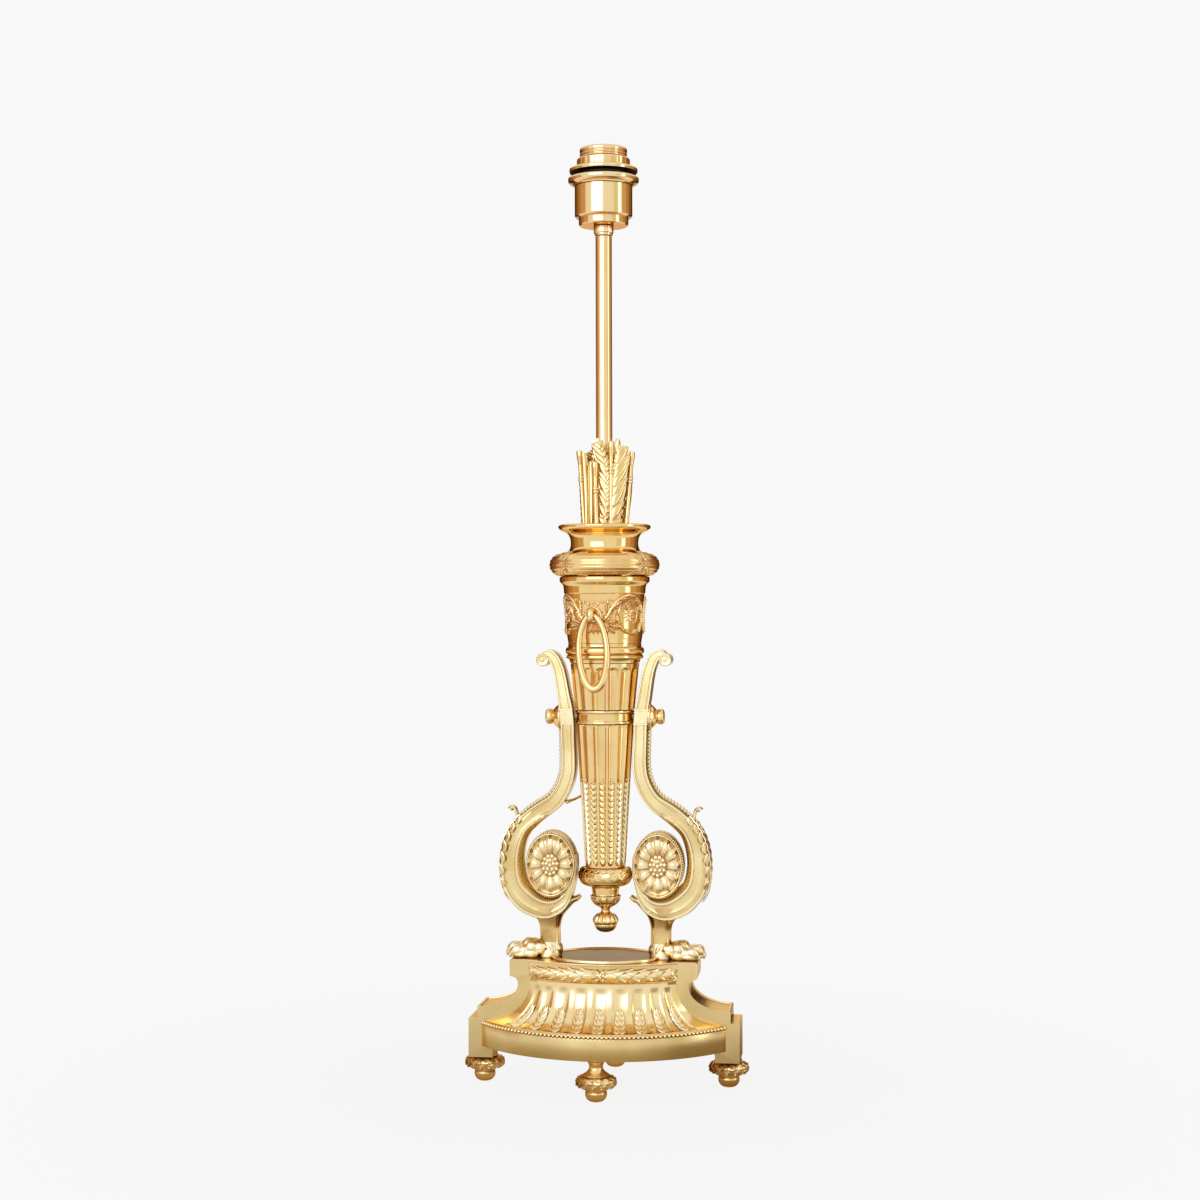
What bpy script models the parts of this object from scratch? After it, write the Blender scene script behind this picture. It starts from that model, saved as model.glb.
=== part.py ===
"""Gilt table lamp: a quiver of arrows carried between two scroll legs on a stepped base.

X runs to the lamp's right, Y to its rear and Z up. The origin is on the floor, under the lamp's centre.
"""

from math import cos, pi, radians, sin, sqrt

import bmesh
import bpy
from mathutils import Matrix, Vector

MM = 0.001

# Clearances and cutters
TOUCH = 0.3 * MM
TURNING = 0.4 * MM
OVERRUN = 2.0 * MM
WELD_DISTANCE = 0.001 * MM

# Facets round the turned pieces
ROUND_SIDES = 20
SMALL_SIDES = 12
PIN_SIDES = 8
NUT_SIDES = 6

# Feet
FOOT_RADIUS = 17.5 * MM
FOOT_HEIGHT = 23.3 * MM
FOOT_NECK_RADIUS = 6.5 * MM
BOW_FOOT_NECK = 9.9 * MM
FOOT_STUD_RADIUS = 2.5 * MM
FOOT_STUD_DEPTH = 6.0 * MM

# Base slab, from the floor up
BLOCK_REACH = 113.5 * MM
BLOCK_WIDTH = 20.5 * MM
BLOCK_HEIGHT = 33.1 * MM
LEDGE_REACH = 106.0 * MM
LEDGE_HEIGHT = 9.9 * MM
WAIST_REACH = 71.4 * MM
CAVETTO_HEIGHT = 19.7 * MM
NECKING_HEIGHT = 8.0 * MM
SLAB_TOP_REACH = 78.5 * MM
SLAB_TOP_HEIGHT = 12.0 * MM
SLAB_DEPTH = 40.0 * MM
SLAB_WALL = 4.0 * MM
SLAB_ROOF = 10.0 * MM

# Bowed front and rear of the base
BOW_TOP_CHORD = 63.0 * MM
BOW_TOP_SAG = 18.5 * MM
BOW_WAIST_CHORD = 61.0 * MM
BOW_WAIST_SAG = 16.0 * MM
BOW_LEDGE_CHORD = 98.0 * MM
BOW_LEDGE_SAG = 47.0 * MM
BOW_APRON_CHORD = 102.0 * MM
BOW_APRON_SAG = 50.2 * MM
BOW_LIP_HEIGHT = 1.5 * MM
BOW_LEDGE_HEIGHT = 3.0 * MM
BOW_WALL = 10.0 * MM
BOW_ROOF = 10.0 * MM
BOW_FLUTES = 11
BOW_FLUTE_DEPTH = 1.4 * MM
APRON_HEIGHT = 18.3 * MM
LAUREL_RADIUS = 6.4 * MM
BEAD_RADIUS = 1.25 * MM
TOP_PLATE_LENGTH = 114.0 * MM
TOP_PLATE_DEPTH = 73.0 * MM
TOP_PLATE_THICKNESS = 2.0 * MM
TOP_PLATE_RIM = 1.6 * MM

# Scroll legs
SCROLL_REACH = 87.2 * MM
LEG_WIDTH = 11.4 * MM
LEG_THICKNESS = 21.0 * MM
CURL_RADIUS = 5.2 * MM
ROSETTE_HALF_WIDTH = 20.8 * MM
ROSETTE_HALF_HEIGHT = 27.0 * MM
ROSETTE_THICKNESS = 25.0 * MM
ROSETTE_PETALS = 12
LEAF_WIDTH = 22.0 * MM
LEAF_THICKNESS = 2.2 * MM
LEAF_TIP_RISE = 13.0 * MM

# Lion's paws and their stems
PAW_LENGTH = 47.5 * MM
PAW_WIDTH = 28.0 * MM
PAW_HEIGHT = 16.5 * MM
STEM_RISE = 42.0 * MM
STEM_HALF_WIDTH = 9.3 * MM
STEM_HALF_DEPTH = 8.4 * MM
PAW_STUD_RADIUS = 2.5 * MM
PAW_STUD_DEPTH = 14.0 * MM
NUT_RADIUS = 4.6 * MM
NUT_HEIGHT = 4.0 * MM

# Pivot bolts and knobs
BOLT_RADIUS = 3.0 * MM
BOLT_HEAD_RADIUS = 4.5 * MM
BOLT_HEAD_HEIGHT = 2.5 * MM
KNOB_RADIUS = 11.2 * MM
KNOB_LENGTH = 13.5 * MM

# Quiver, from the ball finial up
FINIAL_GAP = 21.0 * MM
BALL_RADIUS = 10.9 * MM
BALL_HEIGHT = 20.0 * MM
BALL_STUD_RADIUS = 3.0 * MM
BALL_STUD_LENGTH = 5.0 * MM
CUP_RADIUS = 12.5 * MM
CUP_HEIGHT = 18.5 * MM
LOWER_TORUS_RADIUS = 22.2 * MM
LOWER_TORUS_HEIGHT = 16.5 * MM
LOWER_DRUM_FOOT_RADIUS = 16.7 * MM
LOWER_DRUM_HEIGHT = 120.0 * MM
LOWER_DRUM_TOP_RADIUS = 24.2 * MM
BAND_RADIUS = 24.8 * MM
BAND_HEIGHT = 12.0 * MM
UPPER_DRUM_HEIGHT = 39.0 * MM
UPPER_DRUM_FOOT_RADIUS = 25.0 * MM
UPPER_DRUM_TOP_RADIUS = 29.0 * MM
COLLAR_RADIUS = 33.0 * MM
COLLAR_HEIGHT = 17.0 * MM
FRIEZE_RADIUS = 38.0 * MM
FRIEZE_HEIGHT = 56.0 * MM
REED_TORUS_RADIUS = 46.4 * MM
REED_TORUS_HEIGHT = 19.0 * MM
RIM_RADIUS = 39.0 * MM
RIM_HEIGHT = 24.0 * MM
QUIVER_WALL = 4.6 * MM
QUIVER_FLUTES = 16
QUIVER_FLUTE_DEPTH = 1.6 * MM

# Tie tube, arrow bundle and rod sleeve
TIE_RADIUS = 5.0 * MM
TIE_WALL = 1.5 * MM
TIE_NUT_RADIUS = 7.8 * MM
TIE_NUT_HEIGHT = 5.0 * MM
PLUG_RADIUS = 25.6 * MM
PLUG_SEAT_RISE = 5.0 * MM
PLUG_HEIGHT = 12.0 * MM
ROD_RADIUS = 6.9 * MM
ROD_WALL = 1.5 * MM
ROD_LENGTH = 250.0 * MM
SHAFT_RADIUS = 3.0 * MM
SHAFT_LENGTH = 66.0 * MM
SHAFT_FOOT_CIRCLE = 19.0 * MM
SHAFT_TOP_CIRCLE = 23.5 * MM
VANE_LENGTH = 78.0 * MM
VANE_WIDTH = 13.5 * MM
VANE_THICKNESS = 2.6 * MM

# Ring handle and its staple, turned a little to the left of the lamp's front
HANDLE_TURN = radians(-9.5)
HANDLE_DROP = 33.0 * MM
HANDLE_STANDOFF = 5.3 * MM
HANDLE_HALF_WIDTH = 11.7 * MM
HANDLE_HALF_HEIGHT = 30.6 * MM
HANDLE_WIRE_TOP = 2.1 * MM
HANDLE_WIRE_BOTTOM = 2.9 * MM
STAPLE_WIDTH = 3.0 * MM
STAPLE_WALL = 1.6 * MM
STAPLE_BORE = 2.8 * MM
STAPLE_SHANK_RADIUS = 1.5 * MM
STAPLE_PLATE_RADIUS = 5.0 * MM
STAPLE_PLATE_THICKNESS = 1.6 * MM

# Stay rod and cable outlet, behind the quiver
STAY_RADIUS = 1.3 * MM
STAY_BACK_ANGLE = radians(-128)
STAY_LEG_DEPTH = 4.0 * MM
OUTLET_RISE = 30.0 * MM
OUTLET_RADIUS = 4.4 * MM
OUTLET_FLANGE = 6.0 * MM
OUTLET_WALL = 1.2 * MM
CABLE_HOLE_RADIUS = 2.6 * MM
OUTLET_LENGTH = 6.0 * MM
OUTLET_HEAD = 1.6 * MM

# Lampholder
HOLDER_COLLAR_RADIUS = 8.4 * MM
HOLDER_COLLAR_HEIGHT = 8.4 * MM
HOLDER_CUP_RADIUS = 24.3 * MM
HOLDER_CUP_HEIGHT = 33.3 * MM
HOLDER_CUP_WALL = 1.3 * MM
SKIRT_RADIUS = 20.0 * MM
SKIRT_LENGTH = 39.0 * MM
SKIRT_WALL = 1.8 * MM
SKIRT_INSET = 7.0 * MM
LOWER_RING_RADIUS = 29.9 * MM
LOWER_RING_HEIGHT = 7.7 * MM
RING_GAP = 3.0 * MM
UPPER_RING_RADIUS = 28.8 * MM
UPPER_RING_HEIGHT = 12.2 * MM
UPPER_RING_HUB = 22.5 * MM
INSERT_BASE = 16.0 * MM
INSERT_HEIGHT = 48.0 * MM
SHELL_RADIUS = 14.3 * MM
SHELL_WALL = 0.9 * MM
SHELL_HEIGHT = 30.0 * MM
CONTACT_WIDTH = 5.0 * MM
CONTACT_THICKNESS = 0.8 * MM
CONTACT_RISE = 5.0 * MM
TERMINAL_RADIUS = 2.0 * MM
TERMINAL_HEIGHT = 2.2 * MM

# Heights that follow from the pieces
BLOCK_TOP_Z = FOOT_HEIGHT + BLOCK_HEIGHT
LEDGE_TOP_Z = BLOCK_TOP_Z + LEDGE_HEIGHT
WAIST_Z = LEDGE_TOP_Z + CAVETTO_HEIGHT
NECKING_Z = WAIST_Z + NECKING_HEIGHT
BASE_TOP_Z = NECKING_Z + SLAB_TOP_HEIGHT
APRON_FOOT_Z = FOOT_HEIGHT + BOW_FOOT_NECK
APRON_TOP_Z = APRON_FOOT_Z + APRON_HEIGHT
PIVOT_RISE = FINIAL_GAP + BALL_HEIGHT + CUP_HEIGHT + LOWER_TORUS_HEIGHT + LOWER_DRUM_HEIGHT + BAND_HEIGHT / 2
PIVOT_Z = BASE_TOP_Z + PIVOT_RISE
BAND_Z = PIVOT_Z - BAND_HEIGHT / 2
LOWER_DRUM_Z = BAND_Z - LOWER_DRUM_HEIGHT
LOWER_TORUS_Z = LOWER_DRUM_Z - LOWER_TORUS_HEIGHT
CUP_Z = LOWER_TORUS_Z - CUP_HEIGHT
BALL_Z = CUP_Z - BALL_HEIGHT
UPPER_DRUM_Z = BAND_Z + BAND_HEIGHT
COLLAR_Z = UPPER_DRUM_Z + UPPER_DRUM_HEIGHT
FRIEZE_Z = COLLAR_Z + COLLAR_HEIGHT
REED_TORUS_Z = FRIEZE_Z + FRIEZE_HEIGHT
RIM_Z = REED_TORUS_Z + REED_TORUS_HEIGHT
PLUG_Z = RIM_Z + PLUG_SEAT_RISE
MAST_Z = PLUG_Z + PLUG_HEIGHT + TOUCH
HOLDER_Z = MAST_Z + ROD_LENGTH
HOLDER_CUP_Z = HOLDER_Z + HOLDER_COLLAR_HEIGHT
LOWER_RING_Z = HOLDER_CUP_Z + HOLDER_CUP_HEIGHT + TOUCH
UPPER_RING_Z = LOWER_RING_Z + LOWER_RING_HEIGHT + RING_GAP
SKIRT_Z = HOLDER_CUP_Z + HOLDER_CUP_HEIGHT - SKIRT_INSET

# Places that follow from the pieces
TIE_BORE = TIE_RADIUS + TOUCH
BLOCK_CENTRE = BLOCK_REACH - BLOCK_WIDTH / 2
BOW_FACE = SLAB_DEPTH / 2 + TOUCH
ARM_SEAT = BAND_RADIUS + TOUCH
STEM_SHARE = 0.345
ROSETTE_X_SHARE = 0.324
ROSETTE_Z_SHARE = 0.386

# Finishes: colour, roughness and metallic value
POLISHED_GILT = ((0.86, 0.56, 0.20), 0.16, 1.0)
SATIN_GILT = ((0.84, 0.62, 0.30), 0.34, 1.0)
LACQUERED_BRASS = ((0.84, 0.58, 0.26), 0.22, 1.0)
DARK_PLATE = ((0.30, 0.24, 0.14), 0.20, 1.0)
STEEL = ((0.55, 0.54, 0.52), 0.40, 1.0)
PORCELAIN = ((0.88, 0.86, 0.80), 0.30, 0.0)

# Outlines, as shares of each piece's own radius and height, from the top down
FOOT_SHARES = (
    (0.86, 0.93), (1.0, 0.82), (1.0, 0.70), (0.88, 0.56), (0.60, 0.49),
    (0.49, 0.44), (0.54, 0.34), (0.53, 0.20), (0.43, 0.06), (0.24, 0.0),
)
BALL_SHARES = (
    (0.36, 1.0), (0.36, 0.86), (0.62, 0.80), (0.94, 0.62), (1.0, 0.48), (0.80, 0.32),
    (0.50, 0.27), (0.54, 0.17), (0.38, 0.05), (0.0, 0.0),
)
CUP_SHARES = (
    (0.93, 1.0), (0.90, 0.78), (0.90, 0.60), (1.0, 0.55), (1.0, 0.42), (0.72, 0.18), (0.36, 0.06), (0.34, 0.0),
)
LOWER_TORUS_SHARES = (
    (0.76, 1.0), (0.86, 0.86), (0.98, 0.68), (1.0, 0.45), (0.90, 0.20), (0.66, 0.06), (0.60, 0.0),
)
BAND_SHARES = (
    (0.97, 1.0), (1.0, 0.93), (1.0, 0.80), (0.95, 0.76), (0.95, 0.24), (1.0, 0.20), (1.0, 0.07), (0.97, 0.0),
)
COLLAR_SHARES = (
    (0.94, 1.0), (1.0, 0.88), (1.0, 0.70), (0.94, 0.64), (0.985, 0.54), (0.975, 0.34), (0.91, 0.22), (0.88, 0.0),
)
FRIEZE_SHARES = (
    (0.96, 1.0), (1.0, 0.95), (1.0, 0.87), (0.92, 0.82), (0.89, 0.74), (0.865, 0.45), (0.845, 0.15), (0.816, 0.0),
)
REED_TORUS_SHARES = (
    (0.78, 1.0), (0.91, 0.86), (0.98, 0.68), (1.0, 0.46), (0.98, 0.27), (0.89, 0.08), (0.79, 0.0),
)
RIM_SHARES = (
    (0.88, 1.0), (0.98, 0.99), (1.0, 0.92), (0.96, 0.83), (0.80, 0.74),
    (0.74, 0.58), (0.73, 0.40), (0.76, 0.20), (0.87, 0.0),
)
KNOB_SHARES = (
    (0.42, 1.0), (0.58, 0.94), (0.61, 0.60), (0.56, 0.48), (0.80, 0.36), (0.86, 0.22), (1.0, 0.18), (1.0, 0.0),
)
HOLDER_COLLAR_SHARES = ((0.98, 1.0), (1.0, 0.90), (1.0, 0.28), (0.94, 0.22), (0.90, 0.0))
HOLDER_CUP_SHARES = ((1.0, 1.0), (1.0, 0.24), (0.97, 0.21), (0.83, 0.19), (0.82, 0.03), (0.78, 0.0))
LOWER_RING_SHARES = ((0.97, 1.0), (1.0, 0.84), (1.0, 0.30), (0.94, 0.12), (0.84, 0.0))
UPPER_RING_FLANGE_SHARES = ((1.0, 0.42), (1.0, 0.07), (0.96, 0.0))
THREAD_SHARES = (0.965, 0.945, 0.925, 0.905, 0.885, 0.865, 0.845, 0.825)
THREAD_DEPTH_SHARE = 0.965
SHAFT_OUTLINE_SHARES = (
    (0.62, 1.0), (0.80, 0.97), (0.62, 0.86), (0.62, 0.62), (1.0, 0.60), (1.0, 0.56), (0.70, 0.54), (0.70, 0.0),
)
VANE_OUTLINE_SHARES = ((0.30, 0.0), (0.42, 0.12), (0.80, 0.42), (1.0, 0.68), (0.95, 0.84), (0.62, 0.95), (0.16, 1.0))

# Arrow shafts: angle from the front, and shares of the foot circle, the top circle and the length
SHAFT_PLACE_SHARES = (
    (-81, 1.0, 1.0, 1.0), (-27, 0.92, 0.80, 0.86), (24, 0.66, 0.56, 1.08), (96, 1.0, 1.0, 1.0),
    (148, 0.86, 0.86, 0.94), (205, 0.92, 0.90, 1.0),
)
# Feather vanes: the same, then a share of the width
VANE_PLACE_SHARES = (
    (-53, 1.0, 0.92, 0.80, 0.60), (-1, 0.60, 0.55, 0.98, 0.92), (58, 0.86, 0.80, 0.92, 1.0),
    (122, 0.66, 0.60, 1.0, 0.80), (178, 0.80, 0.80, 0.92, 0.90), (238, 0.80, 0.80, 0.92, 0.90),
)

# The leg's middle line, from the curled top to the tail round the rosette: shares of the reach
# past the arm's seat, of the pivot's rise, and of the leg's width
LEG_SHARES = (
    (0.432, 1.250, 0.33), (0.368, 1.262, 0.61), (0.286, 1.248, 0.74), (0.230, 1.215, 0.79),
    (0.190, 1.173, 0.84), (0.147, 1.094, 0.90), (0.097, 1.0, 1.0), (0.088, 0.901, 0.97),
    (0.080, 0.802, 1.0), (0.105, 0.743, 1.04), (0.180, 0.688, 1.08), (0.288, 0.644, 1.14),
    (0.441, 0.611, 1.24), (0.570, 0.581, 1.32), (0.728, 0.532, 1.36), (0.824, 0.465, 1.50),
    (0.855, 0.387, 1.56), (0.800, 0.307, 1.53), (0.668, 0.248, 1.46), (0.514, 0.215, 1.37),
    (0.353, 0.209, 1.28), (0.208, 0.220, 1.0), (0.110, 0.250, 0.66), (0.060, 0.290, 0.26),
)
LEG_STEPS = 2
LEG_SECTION_SHARES = (
    (-1.0, -1.0), (-0.56, -0.84), (0.56, -0.84), (1.0, -1.0), (1.0, 1.0), (0.56, 0.84), (-0.56, 0.84), (-1.0, 1.0),
)
CURL_SHARES = (0.427, 1.2365)
# The leaf lies on the leg's back between these knots of the middle line
LEAF_FIRST_KNOT = 14
LEAF_LAST_KNOT = 19
LEAF_WIDTH_SHARES = (0.62, 0.80, 0.70, 0.92, 0.80, 1.0, 0.86, 1.0, 0.84, 0.92, 0.60)
# The free tip from its end inwards: width share, shares of its rise outwards and upwards, and the lean
LEAF_TIP_SHARES = ((0.22, 0.62, 0.94, 62), (0.44, 0.42, 0.90, 70), (0.60, 0.22, 0.62, 30), (0.66, 0.12, 0.30, 12))
ROSETTE_SHARES = ((1.0, 0.72), (0.95, 1.0), (0.84, 0.98), (0.78, 0.66), (0.62, 0.86), (0.28, 0.66), (0.20, 1.06))

# Paw sections from the heel to the claws: shares of the length, half width, height and toe grooves
PAW_SHARES = (
    (0.0, 0.55, 0.40, 0.0), (0.06, 0.66, 0.80, 0.0), (0.36, 0.74, 1.0, 0.0), (0.52, 0.86, 0.84, 0.10),
    (0.64, 0.96, 1.0, 0.16), (0.76, 1.0, 0.80, 0.22), (0.88, 1.0, 0.86, 0.24), (0.97, 0.92, 0.56, 0.24), (1.0, 0.80, 0.28, 0.1),
)
PAW_TOP_POINTS = 9
STEM_SHARES = ((0.18, 1.12, 1.22), (0.45, 1.02, 1.08), (0.62, 1.0, 1.04), (0.80, 1.08, 1.02), (1.0, 1.24, 1.02))
# The pocket under the slab: shares of the waist's reach and of the height from floor to roof
SLAB_POCKET_SHARES = ((1.20, 0.2), (1.20, 0.60), (0.86, 0.91), (0.86, 1.0))
STAY_LEG_SHARE = 0.655
STAY_QUIVER_SHARE = 0.675
BOW_POCKET_SHARES = ((0.84, 0.56), (0.76, 0.20))


def clear_scene():
    for obj in list(bpy.data.objects):
        bpy.data.objects.remove(obj, do_unlink=True)


def link(name, bm):
    """Close a bmesh into an object at the world's origin."""
    bmesh.ops.remove_doubles(bm, verts=bm.verts, dist=WELD_DISTANCE)
    bmesh.ops.recalc_face_normals(bm, faces=bm.faces)
    if bm.calc_volume(signed=True) < 0:
        bmesh.ops.reverse_faces(bm, faces=bm.faces)
    mesh = bpy.data.meshes.new(name)
    bm.to_mesh(mesh)
    bm.free()
    obj = bpy.data.objects.new(name, mesh)
    bpy.context.scene.collection.objects.link(obj)
    return obj


def paint(obj, finish):
    colour, roughness, metallic = finish
    material = bpy.data.materials.new(obj.name + "_finish")
    material.use_nodes = True
    shader = material.node_tree.nodes["Principled BSDF"]
    shader.inputs["Base Color"].default_value = (*colour, 1.0)
    shader.inputs["Roughness"].default_value = roughness
    shader.inputs["Metallic"].default_value = metallic
    obj.data.materials.append(material)


def part(name, bm, finish, place=(0, 0, 0)):
    """A finished sub-part, shaded smooth but for its arrises."""
    obj = link(name, bm)
    obj.location = place
    obj.data.shade_smooth()
    obj.data.set_sharp_from_angle(angle=radians(38))
    paint(obj, finish)
    return obj


def helper(name, bm):
    """A cutter, or a shape that is joined to another."""
    obj = link(name, bm)
    obj.hide_render = True
    obj.display_type = "WIRE"
    return obj


def combine(obj, other, operation="DIFFERENCE"):
    modifier = obj.modifiers.new(other.name, "BOOLEAN")
    modifier.operation = operation
    modifier.solver = "EXACT"
    modifier.object = other


def scaled(shares, radius, height):
    return [(radius * r, height * z) for r, z in shares]


def spin(outline, sides=ROUND_SIDES, closed=True):
    """Turn an outline of (radius, height) points about Z, from the top down the outer side."""
    bm = bmesh.new()
    verts = [bm.verts.new((r, 0, z)) for r, z in outline]
    ends = verts[1:] + (verts[:1] if closed else [])
    edges = [bm.edges.new(pair) for pair in zip(verts, ends)]
    bmesh.ops.spin(
        bm, geom=verts + edges, cent=(0, 0, 0), axis=(0, 0, 1), angle=2 * pi, steps=sides, use_merge=True
    )
    bmesh.ops.remove_doubles(bm, verts=bm.verts, dist=WELD_DISTANCE)
    return bm


def sleeve(outline, bore_top, bore_foot):
    """Close an outer outline down a bore."""
    return outline + [(bore_foot, outline[-1][1]), (bore_top, outline[0][1])]


def rod_along(start, end, radius, sides=PIN_SIDES):
    """A round bar between two points."""
    axis = Vector(end) - Vector(start)
    bm = bmesh.new()
    bmesh.ops.create_cone(
        bm, cap_ends=True, segments=sides, radius1=radius, radius2=radius, depth=axis.length
    )
    turn = axis.to_track_quat("Z", "Y").to_matrix().to_4x4()
    middle = (Vector(start) + Vector(end)) / 2
    bmesh.ops.transform(bm, matrix=Matrix.Translation(middle) @ turn, verts=bm.verts)
    return bm


def merge(target, source):
    """Add one bmesh's geometry to another as a separate solid."""
    mesh = bpy.data.meshes.new("merged")
    source.to_mesh(mesh)
    source.free()
    target.from_mesh(mesh)
    bpy.data.meshes.remove(mesh)


def loft(rings, closed=False):
    """Skin rings of equal count, and cap the two ends or join them."""
    bm = bmesh.new()
    loops = [[bm.verts.new(point) for point in ring] for ring in rings]
    pairs = list(zip(loops, loops[1:]))
    if closed:
        pairs.append((loops[-1], loops[0]))
    for first, second in pairs:
        for i, corner in enumerate(first):
            j = (i + 1) % len(first)
            bm.faces.new((corner, first[j], second[j], second[i]))
    if not closed:
        bm.faces.new(loops[0][::-1])
        bm.faces.new(loops[-1])
    return bm


def smooth_path(knots, steps):
    """Points of a curve through the knots, with the given number of steps between two of them."""
    knots = [Vector(knot) for knot in knots]
    padded = [knots[0]] + knots + [knots[-1]]
    path = []
    for a, b, c, d in zip(padded, padded[1:], padded[2:], padded[3:]):
        for step in range(steps):
            t = step / steps
            path.append(
                (2 * b + (c - a) * t + (2 * a - 5 * b + 4 * c - d) * t**2 + (3 * b - a - 3 * c + d) * t**3) / 2
            )
    path.append(knots[-1])
    return path


def around(angle, radius, z):
    """A point at an angle from the lamp's front, positive towards its right."""
    return Vector((radius * sin(angle), -radius * cos(angle), z))


def mirrored(bm, side):
    if side < 0:
        bmesh.ops.scale(bm, vec=(-1, 1, 1), verts=bm.verts)
    return bm


def clear_bore(radius, sides):
    """The bore whose flats stand clear of a round bar."""
    return (radius + TOUCH) / cos(pi / sides)


def side_name(side):
    return "right" if side > 0 else "left"


def end_name(end):
    return "rear" if end > 0 else "front"


# Base

def slab_outline():
    """Half of the slab's end profile, from the top's middle down to the block and back in."""
    points = [(SLAB_TOP_REACH, BASE_TOP_Z), (SLAB_TOP_REACH, NECKING_Z)]
    for step in (1, 2):
        turn = step * pi / 4
        reach = WAIST_REACH + (SLAB_TOP_REACH - WAIST_REACH) * (1 - sin(turn))
        points.append((reach, NECKING_Z - NECKING_HEIGHT * (1 - cos(turn))))
    for step in range(1, 6):
        turn = step * pi / 10
        reach = LEDGE_REACH - (LEDGE_REACH - WAIST_REACH) * cos(turn)
        points.append((reach, WAIST_Z - CAVETTO_HEIGHT * sin(turn)))
    points += [
        (LEDGE_REACH, BLOCK_TOP_Z),
        (BLOCK_REACH, BLOCK_TOP_Z),
        (BLOCK_REACH, FOOT_HEIGHT),
        (BLOCK_REACH - BLOCK_WIDTH, FOOT_HEIGHT),
        (BLOCK_REACH - BLOCK_WIDTH, APRON_FOOT_Z),
    ]
    return points


def make_slab():
    half = slab_outline()
    outline = half + [(-x, z) for x, z in reversed(half)]
    bm = bmesh.new()
    face = bm.faces.new([bm.verts.new((x, -SLAB_DEPTH / 2, z)) for x, z in outline])
    swept = bmesh.ops.extrude_face_region(bm, geom=[face])["geom"]
    moved = [v for v in swept if isinstance(v, bmesh.types.BMVert)]
    bmesh.ops.translate(bm, vec=(0, SLAB_DEPTH, 0), verts=moved)
    slab = part("base_slab", bm, SATIN_GILT)
    roof = BASE_TOP_Z - SLAB_ROOF
    depth = SLAB_DEPTH / 2 - SLAB_WALL
    rings = []
    for reach_share, rise_share in SLAB_POCKET_SHARES:
        x = WAIST_REACH * reach_share
        z = roof * rise_share
        rings.append([(-x, -depth, z), (x, -depth, z), (x, depth, z), (-x, depth, z)])
    combine(slab, helper("slab_pocket", loft(rings)))
    for side in (-1, 1):
        x = side * stem_centre()
        hole = rod_along((x, 0, roof - OVERRUN), (x, 0, BASE_TOP_Z + OVERRUN), PAW_STUD_RADIUS + TOUCH)
        combine(slab, helper(f"slab_{side_name(side)}_paw_hole", hole))
        x = side * BLOCK_CENTRE
        top = FOOT_HEIGHT + FOOT_STUD_DEPTH + TOUCH
        hole = rod_along((x, 0, FOOT_HEIGHT - OVERRUN), (x, 0, top), FOOT_STUD_RADIUS + TOUCH)
        combine(slab, helper(f"slab_{side_name(side)}_foot_hole", hole))


def bow_ring(chord, sag, z, end, face, columns, depth=0):
    """One level of a bow: an arc that stands off a flat back, drawn in at its flutes."""
    radius = (chord**2 + sag**2) / (2 * sag)
    sweep = 2 * sqrt_angle(chord / radius)
    ring = []
    for column in range(columns + 1):
        turn = sweep * (column / columns - 1 / 2)
        inward = depth if 0 < column < columns and column % 3 else 0
        r = radius - inward
        ring.append((r * sin(turn), end * (face + sag - radius + r * cos(turn)), z))
    return ring


def sqrt_angle(ratio):
    """The angle whose sine is the ratio."""
    return 2 * pi / 4 - Vector((ratio, sqrt(1 - ratio * ratio))).angle(Vector((1, 0)))


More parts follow.
